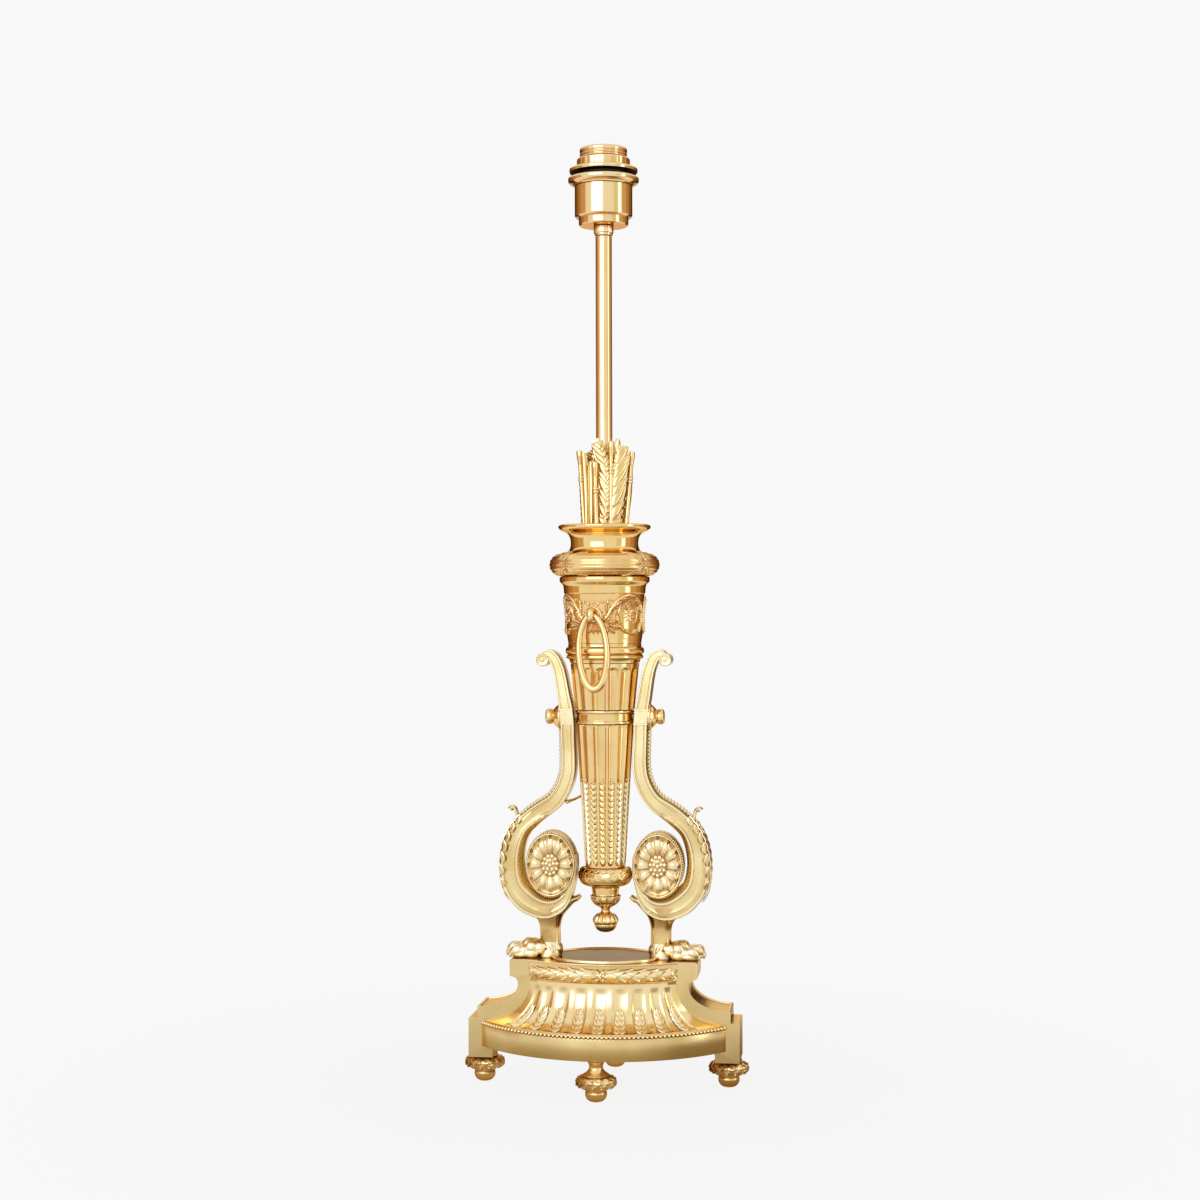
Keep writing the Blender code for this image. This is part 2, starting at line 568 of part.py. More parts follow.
def make_bow(end):
    columns = BOW_FLUTES * 3
    recess_top = BASE_TOP_Z - BOW_LIP_HEIGHT
    recess_foot = recess_top - 2 * (LAUREL_RADIUS + TOUCH)
    ledge = APRON_TOP_Z + BOW_LEDGE_HEIGHT
    levels = [
        (BOW_TOP_CHORD, BOW_TOP_SAG, BASE_TOP_Z, 0),
        (BOW_TOP_CHORD, BOW_TOP_SAG, recess_top, 0),
        (BOW_WAIST_CHORD, BOW_WAIST_SAG, recess_top, 0),
        (BOW_WAIST_CHORD, BOW_WAIST_SAG, recess_foot - BOW_LIP_HEIGHT, 0),
    ]
    for step in range(1, 5):
        turn = step * pi / 8
        chord = BOW_LEDGE_CHORD - (BOW_LEDGE_CHORD - BOW_WAIST_CHORD) * cos(turn)
        sag = BOW_LEDGE_SAG - (BOW_LEDGE_SAG - BOW_WAIST_SAG) * cos(turn)
        z = recess_foot - BOW_LIP_HEIGHT - (recess_foot - BOW_LIP_HEIGHT - ledge) * sin(turn)
        levels.append((chord, sag, z, BOW_FLUTE_DEPTH if step < 4 else 0))
    levels += [
        (BOW_LEDGE_CHORD, BOW_LEDGE_SAG, APRON_TOP_Z + TOUCH / 2, 0),
        (BOW_APRON_CHORD, BOW_APRON_SAG, APRON_TOP_Z, 0),
        (BOW_APRON_CHORD, BOW_APRON_SAG, APRON_FOOT_Z, 0),
    ]
    rings = [bow_ring(chord, sag, z, end, BOW_FACE, columns, depth) for chord, sag, z, depth in levels]
    bow = part(f"{end_name(end)}_bow", loft(rings), POLISHED_GILT)
    inner_face = BOW_FACE + SLAB_WALL
    heights = (APRON_FOOT_Z - OVERRUN, BASE_TOP_Z - BOW_ROOF)
    chords = (BOW_APRON_CHORD, BOW_WAIST_CHORD)
    sags = (BOW_LEDGE_SAG, BOW_WAIST_SAG)
    rings = []
    for (chord_share, sag_share), chord, sag, z in zip(BOW_POCKET_SHARES, chords, sags, heights):
        rings.append(bow_ring(chord * chord_share, sag * sag_share, z, end, inner_face, PIN_SIDES))
    combine(bow, helper(f"{end_name(end)}_bow_pocket", loft(rings)))
    y = bow_foot_y(end)
    top = APRON_FOOT_Z + FOOT_STUD_DEPTH + TOUCH
    hole = rod_along((0, y, APRON_FOOT_Z - OVERRUN), (0, y, top), FOOT_STUD_RADIUS + TOUCH)
    combine(bow, helper(f"{end_name(end)}_bow_foot_hole", hole))


def bow_foot_y(end):
    return end * (BOW_FACE + BOW_APRON_SAG - FOOT_NECK_RADIUS)


def make_laurel_band(end):
    """A half-round torus that lies in the recess under the bow's lip."""
    middle = BASE_TOP_Z - BOW_LIP_HEIGHT - LAUREL_RADIUS - TOUCH
    stations = bow_ring(BOW_WAIST_CHORD, BOW_WAIST_SAG, middle, end, BOW_FACE, SMALL_SIDES)
    radius = (BOW_WAIST_CHORD**2 + BOW_WAIST_SAG**2) / (2 * BOW_WAIST_SAG)
    centre = Vector((0, end * (BOW_FACE + BOW_WAIST_SAG - radius), middle))
    rings = []
    for station in stations:
        outward = (Vector(station) - centre).normalized()
        ring = []
        for step in range(6):
            turn = step * pi / 5 - pi / 2
            reach = TOUCH + LAUREL_RADIUS * max(cos(turn), 0)
            ring.append(Vector(station) + outward * reach + Vector((0, 0, LAUREL_RADIUS * sin(turn))))
        rings.append(ring)
    part(f"{end_name(end)}_laurel_band", loft(rings), POLISHED_GILT)


def make_bead_string(end):
    """The string of beads on the apron's edge, here as its round rail."""
    chord = BOW_APRON_CHORD - 2 * BEAD_RADIUS
    sag = BOW_APRON_SAG - 2 * BEAD_RADIUS
    z = APRON_TOP_Z + TOUCH + BEAD_RADIUS
    face = BOW_FACE + BEAD_RADIUS
    route = bow_ring(chord, sag, z, end, face, ROUND_SIDES)
    curve = bpy.data.curves.new(f"{end_name(end)}_bead_string", "CURVE")
    curve.dimensions = "3D"
    curve.bevel_depth = BEAD_RADIUS
    curve.bevel_resolution = 1
    curve.use_fill_caps = True
    line = curve.splines.new("POLY")
    line.points.add(len(route) - 1)
    for point, place in zip(line.points, route):
        point.co = (*place, 1)
    obj = bpy.data.objects.new(curve.name, curve)
    bpy.context.scene.collection.objects.link(obj)
    paint(obj, POLISHED_GILT)


def make_top_plate():
    """The flat oval plate between the paws, with its thin raised rim."""
    rim = TOP_PLATE_THICKNESS
    field = TOP_PLATE_THICKNESS / 2
    radius = TOP_PLATE_DEPTH / 2
    outline = [
        (0, field), (radius - 2 * TOP_PLATE_RIM, field), (radius - TOP_PLATE_RIM, rim), (radius, rim), (radius, 0), (0, 0)
    ]
    bm = spin(outline, 2 * SMALL_SIDES, closed=False)
    bmesh.ops.scale(bm, vec=(TOP_PLATE_LENGTH / TOP_PLATE_DEPTH, 1, 1), verts=bm.verts)
    plate = part("top_plate", bm, DARK_PLATE, (0, 0, BASE_TOP_Z + TOUCH))
    y = PAW_WIDTH / 2 + TOUCH
    top = TOUCH + TOP_PLATE_THICKNESS + OVERRUN
    for side in (-1, 1):
        near = side * (stem_centre() - PAW_LENGTH * STEM_SHARES[0][0] - TOUCH)
        far = side * (TOP_PLATE_LENGTH / 2 + OVERRUN)
        rings = [[(x, -y, -top), (x, y, -top), (x, y, top), (x, -y, top)] for x in (near, far)]
        notch = helper(f"plate_{side_name(side)}_notch", loft(rings))
        notch.location.z = BASE_TOP_Z
        combine(plate, notch)


def make_foot(name, x, y, top):
    """A turned foot with its screw stud in one piece."""
    outline = scaled(FOOT_SHARES, FOOT_RADIUS, FOOT_HEIGHT)
    if top > FOOT_HEIGHT:
        flare = FOOT_NECK_RADIUS + (FOOT_RADIUS - FOOT_NECK_RADIUS) / 3
        outline = [(FOOT_NECK_RADIUS, top - TOUCH), (FOOT_NECK_RADIUS, top - BOW_FOOT_NECK / 2), (flare, FOOT_HEIGHT)] + outline
    else:
        outline = [(FOOT_RADIUS * 2 / 3, top - TOUCH)] + outline
    stud_top = top + FOOT_STUD_DEPTH
    outline = [(0, stud_top), (FOOT_STUD_RADIUS, stud_top), (FOOT_STUD_RADIUS, top - TOUCH)] + outline + [(0, 0)]
    part(name, spin(outline, SMALL_SIDES, closed=False), POLISHED_GILT, (x, y, 0))


def foot_places():
    return (
        ("foot_left", -BLOCK_CENTRE, 0, FOOT_HEIGHT),
        ("foot_right", BLOCK_CENTRE, 0, FOOT_HEIGHT),
        ("foot_front", 0, bow_foot_y(-1), APRON_FOOT_Z),
        ("foot_rear", 0, bow_foot_y(1), APRON_FOOT_Z),
    )


def make_feet():
    for name, x, y, top in foot_places():
        make_foot(name, x, y, top)


# Legs

def leg_point(shares):
    """A point of the leg's plane: reach from the axis and height."""
    x_share, z_share = shares
    return ARM_SEAT + (SCROLL_REACH - ARM_SEAT) * x_share, BASE_TOP_Z + PIVOT_RISE * z_share


def stem_centre():
    return leg_point((STEM_SHARE, 0))[0]


def leg_stations():
    """The middle line with its width and outward normal, from the curl to the tail."""
    knots = [(*leg_point(shares[:2]), LEG_WIDTH * shares[2]) for shares in LEG_SHARES]
    path = smooth_path(knots, LEG_STEPS)
    stations = []
    for i, (x, z, width) in enumerate(path):
        before = path[max(i - 1, 0)]
        after = path[min(i + 1, len(path) - 1)]
        along = Vector((after[0] - before[0], after[1] - before[1])).normalized()
        stations.append((Vector((x, 0, z)), width, Vector((-along.y, 0, along.x))))
    return stations


def leg_rings(grow=0):
    rings = []
    for centre, width, normal in leg_stations():
        ring = []
        for across, through in LEG_SECTION_SHARES:
            reach = (width / 2 + grow) * across
            ring.append(centre + normal * reach + Vector((0, (LEG_THICKNESS / 2 + grow) * through, 0)))
        rings.append(ring)
    return rings


def make_rosette(side):
    half = ROSETTE_THICKNESS / 2
    sides = ROSETTE_PETALS * 2
    outer = [(r, half * y) for r, y in ROSETTE_SHARES]
    outline = [(0, outer[-1][1])] + outer[::-1]
    outline += [(r, -y) for r, y in outline[::-1]]
    bm = spin(outline, sides, closed=False)
    petal_radius = ROSETTE_SHARES[4][0]
    for vert in bm.verts:
        flat = Vector((vert.co.x, vert.co.y))
        if abs(flat.length - petal_radius) > petal_radius / 10:
            continue
        column = round(flat.angle_signed(Vector((1, 0))) * sides / (2 * pi))
        if column % 2:
            vert.co.z *= ROSETTE_SHARES[3][1]
    bmesh.ops.rotate(bm, matrix=Matrix.Rotation(pi / 2, 3, "X"), verts=bm.verts)
    bmesh.ops.scale(bm, vec=(ROSETTE_HALF_WIDTH, 1, ROSETTE_HALF_HEIGHT), verts=bm.verts)
    x, z = leg_point((ROSETTE_X_SHARE, ROSETTE_Z_SHARE))
    part(f"{side_name(side)}_rosette", bm, POLISHED_GILT, (side * x, 0, z))


def rosette_seat(side):
    """The oval that the leg's tail is cut to, so that the rosette seats in it."""
    bm = bmesh.new()
    depth = LEG_THICKNESS + 2 * OVERRUN
    bmesh.ops.create_cone(bm, cap_ends=True, segments=ROSETTE_PETALS * 2, radius1=1, radius2=1, depth=depth)
    bmesh.ops.rotate(bm, matrix=Matrix.Rotation(pi / 2, 3, "X"), verts=bm.verts)
    bmesh.ops.scale(bm, vec=(ROSETTE_HALF_WIDTH + 2 * TOUCH, 1, ROSETTE_HALF_HEIGHT + 2 * TOUCH), verts=bm.verts)
    x, z = leg_point((ROSETTE_X_SHARE, ROSETTE_Z_SHARE))
    bmesh.ops.translate(bm, vec=(side * x, 0, z), verts=bm.verts)
    return helper(f"{side_name(side)}_rosette_seat", bm)


def make_leg(side):
    name = side_name(side)
    leg = part(f"{name}_leg", mirrored(loft(leg_rings()), side), SATIN_GILT)
    x, z = leg_point(CURL_SHARES)
    half = LEG_THICKNESS / 2
    curl = rod_along((side * x, -half, z), (side * x, half, z), CURL_RADIUS, SMALL_SIDES)
    combine(leg, helper(f"{name}_curl", curl), "UNION")
    combine(leg, rosette_seat(side))
    reach = ARM_SEAT + LEG_WIDTH
    hole = rod_along((side * (ARM_SEAT - OVERRUN), 0, PIVOT_Z), (side * (reach + OVERRUN), 0, PIVOT_Z), BOLT_RADIUS + TOUCH)
    combine(leg, helper(f"{name}_bolt_hole", hole))
    face = rod_along((side * reach, 0, PIVOT_Z), (side * (reach + KNOB_LENGTH), 0, PIVOT_Z), KNOB_RADIUS + TOUCH, SMALL_SIDES)
    combine(leg, helper(f"{name}_knob_seat", face))


def make_leaf(side):
    """The acanthus leaf on the leg's back, with its tip curled free."""
    stations = leg_stations()[LEAF_FIRST_KNOT * LEG_STEPS : LEAF_LAST_KNOT * LEG_STEPS + 1]
    places = []
    for (centre, width, normal), share in zip(stations, LEAF_WIDTH_SHARES):
        places.append((centre + normal * (width / 2 + TOUCH), normal, share))
    start, normal, _ = places[0]
    tip = []
    for width_share, out_share, rise_share, lean_angle in LEAF_TIP_SHARES:
        place = start + Vector((LEAF_TIP_RISE * out_share, 0, LEAF_TIP_RISE * rise_share))
        turn = radians(lean_angle)
        tip.append((place, Vector((cos(turn), 0, sin(turn))), width_share))
    places = tip + places
    rings = []
    for place, normal, share in places:
        y = LEAF_WIDTH * share / 2
        edge = place + normal * LEAF_THICKNESS / 2
        crown = place + normal * LEAF_THICKNESS
        rings.append([
            place + Vector((0, -y, 0)), edge + Vector((0, -y, 0)), crown, edge + Vector((0, y, 0)), place + Vector((0, y, 0))
        ])
    part(f"{side_name(side)}_acanthus_leaf", mirrored(loft(rings), side), POLISHED_GILT)


def paw_rings():
    heel = stem_centre() - PAW_LENGTH * STEM_SHARES[0][0]
    foot = BASE_TOP_Z + TOUCH
    rings = []
    for length_share, width_share, height_share, groove in PAW_SHARES:
        x = heel + PAW_LENGTH * length_share
        half = PAW_WIDTH / 2 * width_share
        height = PAW_HEIGHT * height_share
        ring = [Vector((x, -half, foot))]
        for i in range(PAW_TOP_POINTS):
            across = 2 * i / (PAW_TOP_POINTS - 1) - 1
            crown = sqrt(1 - (across * 4 / 5) ** 2) * (1 - (0 if i % 2 else groove))
            ring.append(Vector((x, half * across, foot + height * crown)))
        ring.append(Vector((x, half, foot)))
        rings.append(ring)
    return rings


def make_paw(side):
    name = side_name(side)
    paw = part(f"{name}_paw", mirrored(loft(paw_rings()), side), POLISHED_GILT)
    rings = []
    for rise_share, width_share, depth_share in STEM_SHARES:
        z = BASE_TOP_Z + STEM_RISE * rise_share
        ring = []
        for step in range(SMALL_SIDES):
            turn = 2 * pi * step / SMALL_SIDES
            x = stem_centre() + STEM_HALF_WIDTH * width_share * cos(turn)
            ring.append(Vector((x, STEM_HALF_DEPTH * depth_share * sin(turn), z)))
        rings.append(ring)
    combine(paw, helper(f"{name}_stem", mirrored(loft(rings), side)), "UNION")
    combine(paw, helper(f"{name}_leg_seat", mirrored(loft(leg_rings(grow=TOUCH)), side)))
    x = side * stem_centre()
    top = BASE_TOP_Z + PAW_STUD_DEPTH + TOUCH
    hole = rod_along((x, 0, BASE_TOP_Z - OVERRUN), (x, 0, top), PAW_STUD_RADIUS + TOUCH)
    combine(paw, helper(f"{name}_paw_stud_hole", hole))


def make_paw_fixings(side):
    """A stud from the paw down through the slab's roof, with its nut under it."""
    x = side * stem_centre()
    foot = BASE_TOP_Z - SLAB_ROOF - TOUCH - NUT_HEIGHT
    stud = rod_along((x, 0, foot), (x, 0, BASE_TOP_Z + PAW_STUD_DEPTH), PAW_STUD_RADIUS)
    part(f"{side_name(side)}_paw_stud", stud, STEEL)
    bore = clear_bore(PAW_STUD_RADIUS, NUT_SIDES)
    outline = [(NUT_RADIUS, NUT_HEIGHT), (NUT_RADIUS, 0), (bore, 0), (bore, NUT_HEIGHT)]
    part(f"{side_name(side)}_paw_nut", spin(outline, NUT_SIDES), LACQUERED_BRASS, (x, 0, foot))


def lay_outward(bm, side, x):
    """Turn a piece made along Z so that it points out sideways at the pivot."""
    bmesh.ops.rotate(bm, matrix=Matrix.Rotation(side * pi / 2, 3, "Y"), verts=bm.verts)
    bmesh.ops.translate(bm, vec=(side * x, 0, PIVOT_Z), verts=bm.verts)
    return bm


def make_pivot(side):
    """The bolt from inside the band through the leg, and the knob that draws it tight."""
    name = side_name(side)
    inside = BAND_RADIUS - QUIVER_WALL
    face = sqrt(inside**2 - BOLT_HEAD_RADIUS**2) * cos(pi / ROUND_SIDES) - TOUCH
    leg_back = ARM_SEAT + LEG_WIDTH + TOUCH
    length = leg_back + KNOB_LENGTH / 2 - face
    outline = [(0, length), (BOLT_RADIUS, length), (BOLT_RADIUS, 0), (BOLT_HEAD_RADIUS, 0)]
    outline += [(BOLT_HEAD_RADIUS, -BOLT_HEAD_HEIGHT), (0, -BOLT_HEAD_HEIGHT)]
    part(f"{name}_pivot_bolt", lay_outward(spin(outline, PIN_SIDES, closed=False), side, face), STEEL)
    bore = BOLT_RADIUS + TOUCH
    floor = KNOB_LENGTH / 2 + TOUCH
    outline = [(0, KNOB_LENGTH)] + scaled(KNOB_SHARES, KNOB_RADIUS, KNOB_LENGTH) + [(bore, 0), (bore, floor), (0, floor)]
    part(f"{name}_pivot_knob", lay_outward(spin(outline, SMALL_SIDES, closed=False), side, leg_back), POLISHED_GILT)


# Quiver

def stacked(shares, radius, height, bore_top, bore_foot):
    """A piece of the stack: its own height less the touching gap, and its bore."""
    return sleeve(scaled(shares, radius, height - TOUCH), bore_top, bore_foot)


def fluted(foot_radius, top_radius, height, start_share):
    """A tapered drum with round-topped flutes and its bore."""
    sides = QUIVER_FLUTES * 3
    height -= TOUCH
    levels = ((1, 0), (start_share, 0), (start_share - 0.03, 1), (0.04, 1), (0.02, 0), (0, 0))
    outline = [(foot_radius + (top_radius - foot_radius) * share, height * share) for share, _ in levels]
    bm = spin(sleeve(outline, top_radius - QUIVER_WALL, foot_radius - QUIVER_WALL), sides)
    bmesh.ops.rotate(bm, matrix=Matrix.Rotation(-pi / 2, 3, "Z"), verts=bm.verts)
    deep = [height * share for share, depth in levels if depth]
    for vert in bm.verts:
        radius = Vector((vert.co.x, vert.co.y)).length
        rim = foot_radius + (top_radius - foot_radius) * vert.co.z / height
        column = round(Vector((vert.co.x, vert.co.y)).angle_signed(Vector((0, -1))) * sides / (2 * pi))
        in_flute = min(abs(vert.co.z - z) for z in deep) < height / 100
        if column % 3 == 0 and in_flute and radius > rim - QUIVER_WALL / 2:
            vert.co.x *= 1 - QUIVER_FLUTE_DEPTH / radius
            vert.co.y *= 1 - QUIVER_FLUTE_DEPTH / radius
    return bm


def make_finial():
    """The ball with its stud, and the cup that it screws into."""
    outline = scaled(BALL_SHARES, BALL_RADIUS, BALL_HEIGHT - TOUCH)
    stud_top = BALL_HEIGHT + BALL_STUD_LENGTH
    outline = [(0, stud_top), (BALL_STUD_RADIUS, stud_top), (BALL_STUD_RADIUS, BALL_HEIGHT - TOUCH)] + outline
    part("finial_ball", spin(outline, closed=False), POLISHED_GILT, (0, 0, BALL_Z))
    outline = scaled(CUP_SHARES, CUP_RADIUS, CUP_HEIGHT - TOUCH)
    stud_bore = BALL_STUD_RADIUS + TOUCH
    floor = BALL_STUD_LENGTH + TOUCH
    outline += [(stud_bore, 0), (stud_bore, floor), (TIE_BORE, floor), (TIE_BORE, outline[0][1])]
    part("finial_cup", spin(outline), POLISHED_GILT, (0, 0, CUP_Z))


def make_quiver():
    make_finial()
    outline = stacked(LOWER_TORUS_SHARES, LOWER_TORUS_RADIUS, LOWER_TORUS_HEIGHT, TIE_BORE, TIE_BORE)
    part("lower_torus", spin(outline), POLISHED_GILT, (0, 0, LOWER_TORUS_Z))
    drum = fluted(LOWER_DRUM_FOOT_RADIUS, LOWER_DRUM_TOP_RADIUS, LOWER_DRUM_HEIGHT, 0.98)
    lower = part("lower_fluted_drum", drum, POLISHED_GILT, (0, 0, LOWER_DRUM_Z))
    z = LOWER_DRUM_Z + OUTLET_RISE
    reach = LOWER_DRUM_TOP_RADIUS + OVERRUN
    combine(lower, helper("outlet_hole", rod_along((0, 0, z), (0, reach, z), OUTLET_RADIUS + TOUCH)))
    bore = BAND_RADIUS - QUIVER_WALL
    band = part("pivot_band", spin(stacked(BAND_SHARES, BAND_RADIUS, BAND_HEIGHT, bore, bore)), POLISHED_GILT, (0, 0, BAND_Z))
    reach = BAND_RADIUS + OVERRUN
    combine(band, helper("band_bolt_hole", rod_along((-reach, 0, PIVOT_Z), (reach, 0, PIVOT_Z), BOLT_RADIUS + TOUCH)))
    drum = fluted(UPPER_DRUM_FOOT_RADIUS, UPPER_DRUM_TOP_RADIUS, UPPER_DRUM_HEIGHT, 0.92)
    part("upper_fluted_drum", drum, POLISHED_GILT, (0, 0, UPPER_DRUM_Z))
    foot = COLLAR_RADIUS * COLLAR_SHARES[-1][0] - QUIVER_WALL
    top = COLLAR_RADIUS * COLLAR_SHARES[0][0] - QUIVER_WALL
    outline = stacked(COLLAR_SHARES, COLLAR_RADIUS, COLLAR_HEIGHT, top, foot)
    part("collar_moulding", spin(outline), POLISHED_GILT, (0, 0, COLLAR_Z))
    top = RIM_RADIUS * RIM_SHARES[6][0] - QUIVER_WALL
    foot = FRIEZE_RADIUS * FRIEZE_SHARES[-1][0] - QUIVER_WALL
    outline = stacked(FRIEZE_SHARES, FRIEZE_RADIUS, FRIEZE_HEIGHT, foot, foot)
    part("frieze_drum", spin(outline), POLISHED_GILT, (0, 0, FRIEZE_Z))
    outline = stacked(REED_TORUS_SHARES, REED_TORUS_RADIUS, REED_TORUS_HEIGHT, top, foot)
    part("reeded_torus", spin(outline), POLISHED_GILT, (0, 0, REED_TORUS_Z))
    mouth = PLUG_RADIUS + TOUCH
    seat = PLUG_SEAT_RISE - TOUCH
    outline = scaled(RIM_SHARES, RIM_RADIUS, RIM_HEIGHT)
    inner = top - TOUCH
    outline += [(inner, 0), (inner, seat), (mouth, seat), (mouth, RIM_HEIGHT * RIM_SHARES[4][1])]
    part("quiver_rim", spin(outline), POLISHED_GILT, (0, 0, RIM_Z))


def make_mast():
    """The tie tube through the whole stack, and the rod sleeve over it."""
    foot = CUP_Z + BALL_STUD_LENGTH + 2 * TOUCH
    top = HOLDER_CUP_Z + HOLDER_CUP_WALL + 2 * TOUCH + TIE_NUT_HEIGHT
    bore = TIE_RADIUS - TIE_WALL
    outline = [(TIE_RADIUS, top), (TIE_RADIUS, foot), (bore, foot), (bore, top)]
    tube = part("tie_tube", spin(outline, SMALL_SIDES), STEEL)
    z = LOWER_DRUM_Z + OUTLET_RISE
    hole = rod_along((0, 0, z), (0, TIE_RADIUS + OVERRUN, z), CABLE_HOLE_RADIUS)
    combine(tube, helper("tube_cable_hole", hole))
    outline = [(ROD_RADIUS, ROD_LENGTH - TOUCH), (ROD_RADIUS, 0)]
    bore = ROD_RADIUS - ROD_WALL
    part("rod_sleeve", spin(sleeve(outline, bore, bore), SMALL_SIDES), LACQUERED_BRASS, (0, 0, MAST_Z))


def lean(angle, foot_share, top_share):
    """Foot and top of an arrow of unit length share at an angle round the bundle."""
    foot = around(radians(angle), SHAFT_FOOT_CIRCLE * foot_share, MAST_Z - OVERRUN)
    return foot, around(radians(angle), SHAFT_TOP_CIRCLE * top_share, foot.z) - foot


def make_arrows():
    """The bundle is one casting: the plug in the quiver's mouth with the shafts and vanes that stand on it."""
    outline = [(PLUG_RADIUS, PLUG_HEIGHT), (PLUG_RADIUS, 0)]
    bundle = part("arrow_bundle", spin(sleeve(outline, TIE_BORE, TIE_BORE)), POLISHED_GILT, (0, 0, PLUG_Z))
    shafts = bmesh.new()
    for angle, foot_share, top_share, length_share in SHAFT_PLACE_SHARES:
        foot, drift = lean(angle, foot_share, top_share)
        length = SHAFT_LENGTH * length_share
        bm = spin([(0, length)] + scaled(SHAFT_OUTLINE_SHARES, SHAFT_RADIUS, length) + [(0, 0)], PIN_SIDES, closed=False)
        tilt = Vector((drift.x, drift.y, SHAFT_LENGTH)).to_track_quat("Z", "Y").to_matrix().to_4x4()
        bmesh.ops.transform(bm, matrix=Matrix.Translation(foot) @ tilt, verts=bm.verts)
        merge(shafts, bm)
    combine(bundle, helper("arrow_shafts", shafts), "UNION")
    vanes = bmesh.new()
    for angle, foot_share, top_share, length_share, width_share in VANE_PLACE_SHARES:
        foot, drift = lean(angle, foot_share, top_share)
        outward = around(radians(angle), 1, 0)
        across = Vector((-outward.y, outward.x, 0))
        rings = []
        for wide, rise in VANE_OUTLINE_SHARES:
            middle = foot + Vector((drift.x, drift.y, 0)) * rise + Vector((0, 0, VANE_LENGTH * length_share * rise))
            half = VANE_WIDTH * width_share * wide / 2
            thick = VANE_THICKNESS / 2
            rings.append([middle - across * half, middle - outward * thick, middle + across * half, middle + outward * thick])
        merge(vanes, loft(rings))
    combine(bundle, helper("feather_vanes", vanes), "UNION")


def frieze_radius(z):
    """The frieze drum's outer radius at a height in the world."""
    rows = [(FRIEZE_RADIUS * r, FRIEZE_Z + (FRIEZE_HEIGHT - TOUCH) * share) for r, share in FRIEZE_SHARES]
    for (upper, top), (lower, foot) in zip(rows, rows[1:]):
        if foot <= z <= top:
            return lower + (upper - lower) * (z - foot) / (top - foot)
    return FRIEZE_RADIUS


def handle_pivot():
    z = REED_TORUS_Z - HANDLE_DROP
    return around(HANDLE_TURN, frieze_radius(z) + HANDLE_STANDOFF, z)


def make_ring_handle():
    """The oval ring, thicker at the bottom, whose top passes through the staple's eye."""
    stations = 26
    rings = []
    for step in range(stations):
        turn = 2 * pi * step / stations
        wire = HANDLE_WIRE_BOTTOM + (HANDLE_WIRE_TOP - HANDLE_WIRE_BOTTOM) * (1 + cos(turn)) / 2
        centre = Vector((HANDLE_HALF_WIDTH * sin(turn), 0, HANDLE_HALF_HEIGHT * (cos(turn) - 1)))
        normal = Vector((HANDLE_HALF_HEIGHT * sin(turn), 0, HANDLE_HALF_WIDTH * cos(turn))).normalized()
        ring = []
        for corner in range(PIN_SIDES):
            spin_turn = 2 * pi * corner / PIN_SIDES
            ring.append(centre + normal * wire * cos(spin_turn) + Vector((0, wire * sin(spin_turn), 0)))
        rings.append(ring)
    handle = part("ring_handle", loft(rings, closed=True), POLISHED_GILT, handle_pivot())
    handle.rotation_euler.z = HANDLE_TURN


def make_staple():
    """An eye on a short shank, which stands on a small round plate."""
    eye_radius = STAPLE_BORE + STAPLE_WALL
    outline = [(eye_radius, STAPLE_WIDTH / 2), (eye_radius, -STAPLE_WIDTH / 2)]
    bm = spin(sleeve(outline, STAPLE_BORE, STAPLE_BORE), SMALL_SIDES)
    bmesh.ops.rotate(bm, matrix=Matrix.Rotation(pi / 2, 3, "Y"), verts=bm.verts)
    staple = part("ring_staple", bm, POLISHED_GILT, handle_pivot())
    staple.rotation_euler.z = HANDLE_TURN
    pivot = handle_pivot()
    reach = Vector((pivot.x, pivot.y)).length
    wall = reach - HANDLE_STANDOFF + TOUCH
    near = around(HANDLE_TURN, wall + STAPLE_PLATE_THICKNESS / 2, pivot.z)
    far = around(HANDLE_TURN, reach - STAPLE_BORE - STAPLE_WALL / 2, pivot.z)
    combine(staple, helper("staple_shank", rod_along(near, far, STAPLE_SHANK_RADIUS)), "UNION")
    back = around(HANDLE_TURN, wall, pivot.z)
    front = around(HANDLE_TURN, wall + STAPLE_PLATE_THICKNESS, pivot.z)
    combine(staple, helper("staple_plate", rod_along(back, front, STAPLE_PLATE_RADIUS, SMALL_SIDES)), "UNION")


def drum_radius(z):
    """The lower drum's outer radius at a height in the world."""
    share = (z - LOWER_DRUM_Z) / (LOWER_DRUM_HEIGHT - TOUCH)
    return LOWER_DRUM_FOOT_RADIUS + (LOWER_DRUM_TOP_RADIUS - LOWER_DRUM_FOOT_RADIUS) * share


def make_stay():
    """A slender rod from the left leg's inner side to the quiver's rear."""
    stations = leg_stations()
    height = BASE_TOP_Z + PIVOT_RISE * STAY_LEG_SHARE
    centre, width, normal = min(stations[: LEAF_FIRST_KNOT * LEG_STEPS], key=lambda s: abs(s[0].z - height))
    seat = centre - normal * (width / 2 + TOUCH + STAY_RADIUS)
    start = Vector((-seat.x, STAY_LEG_DEPTH, seat.z))
    z = BASE_TOP_Z + PIVOT_RISE * STAY_QUIVER_SHARE
    end = around(STAY_BACK_ANGLE, drum_radius(z) + TOUCH + STAY_RADIUS, z)
    part("stay_rod", rod_along(start, end, STAY_RADIUS), POLISHED_GILT)


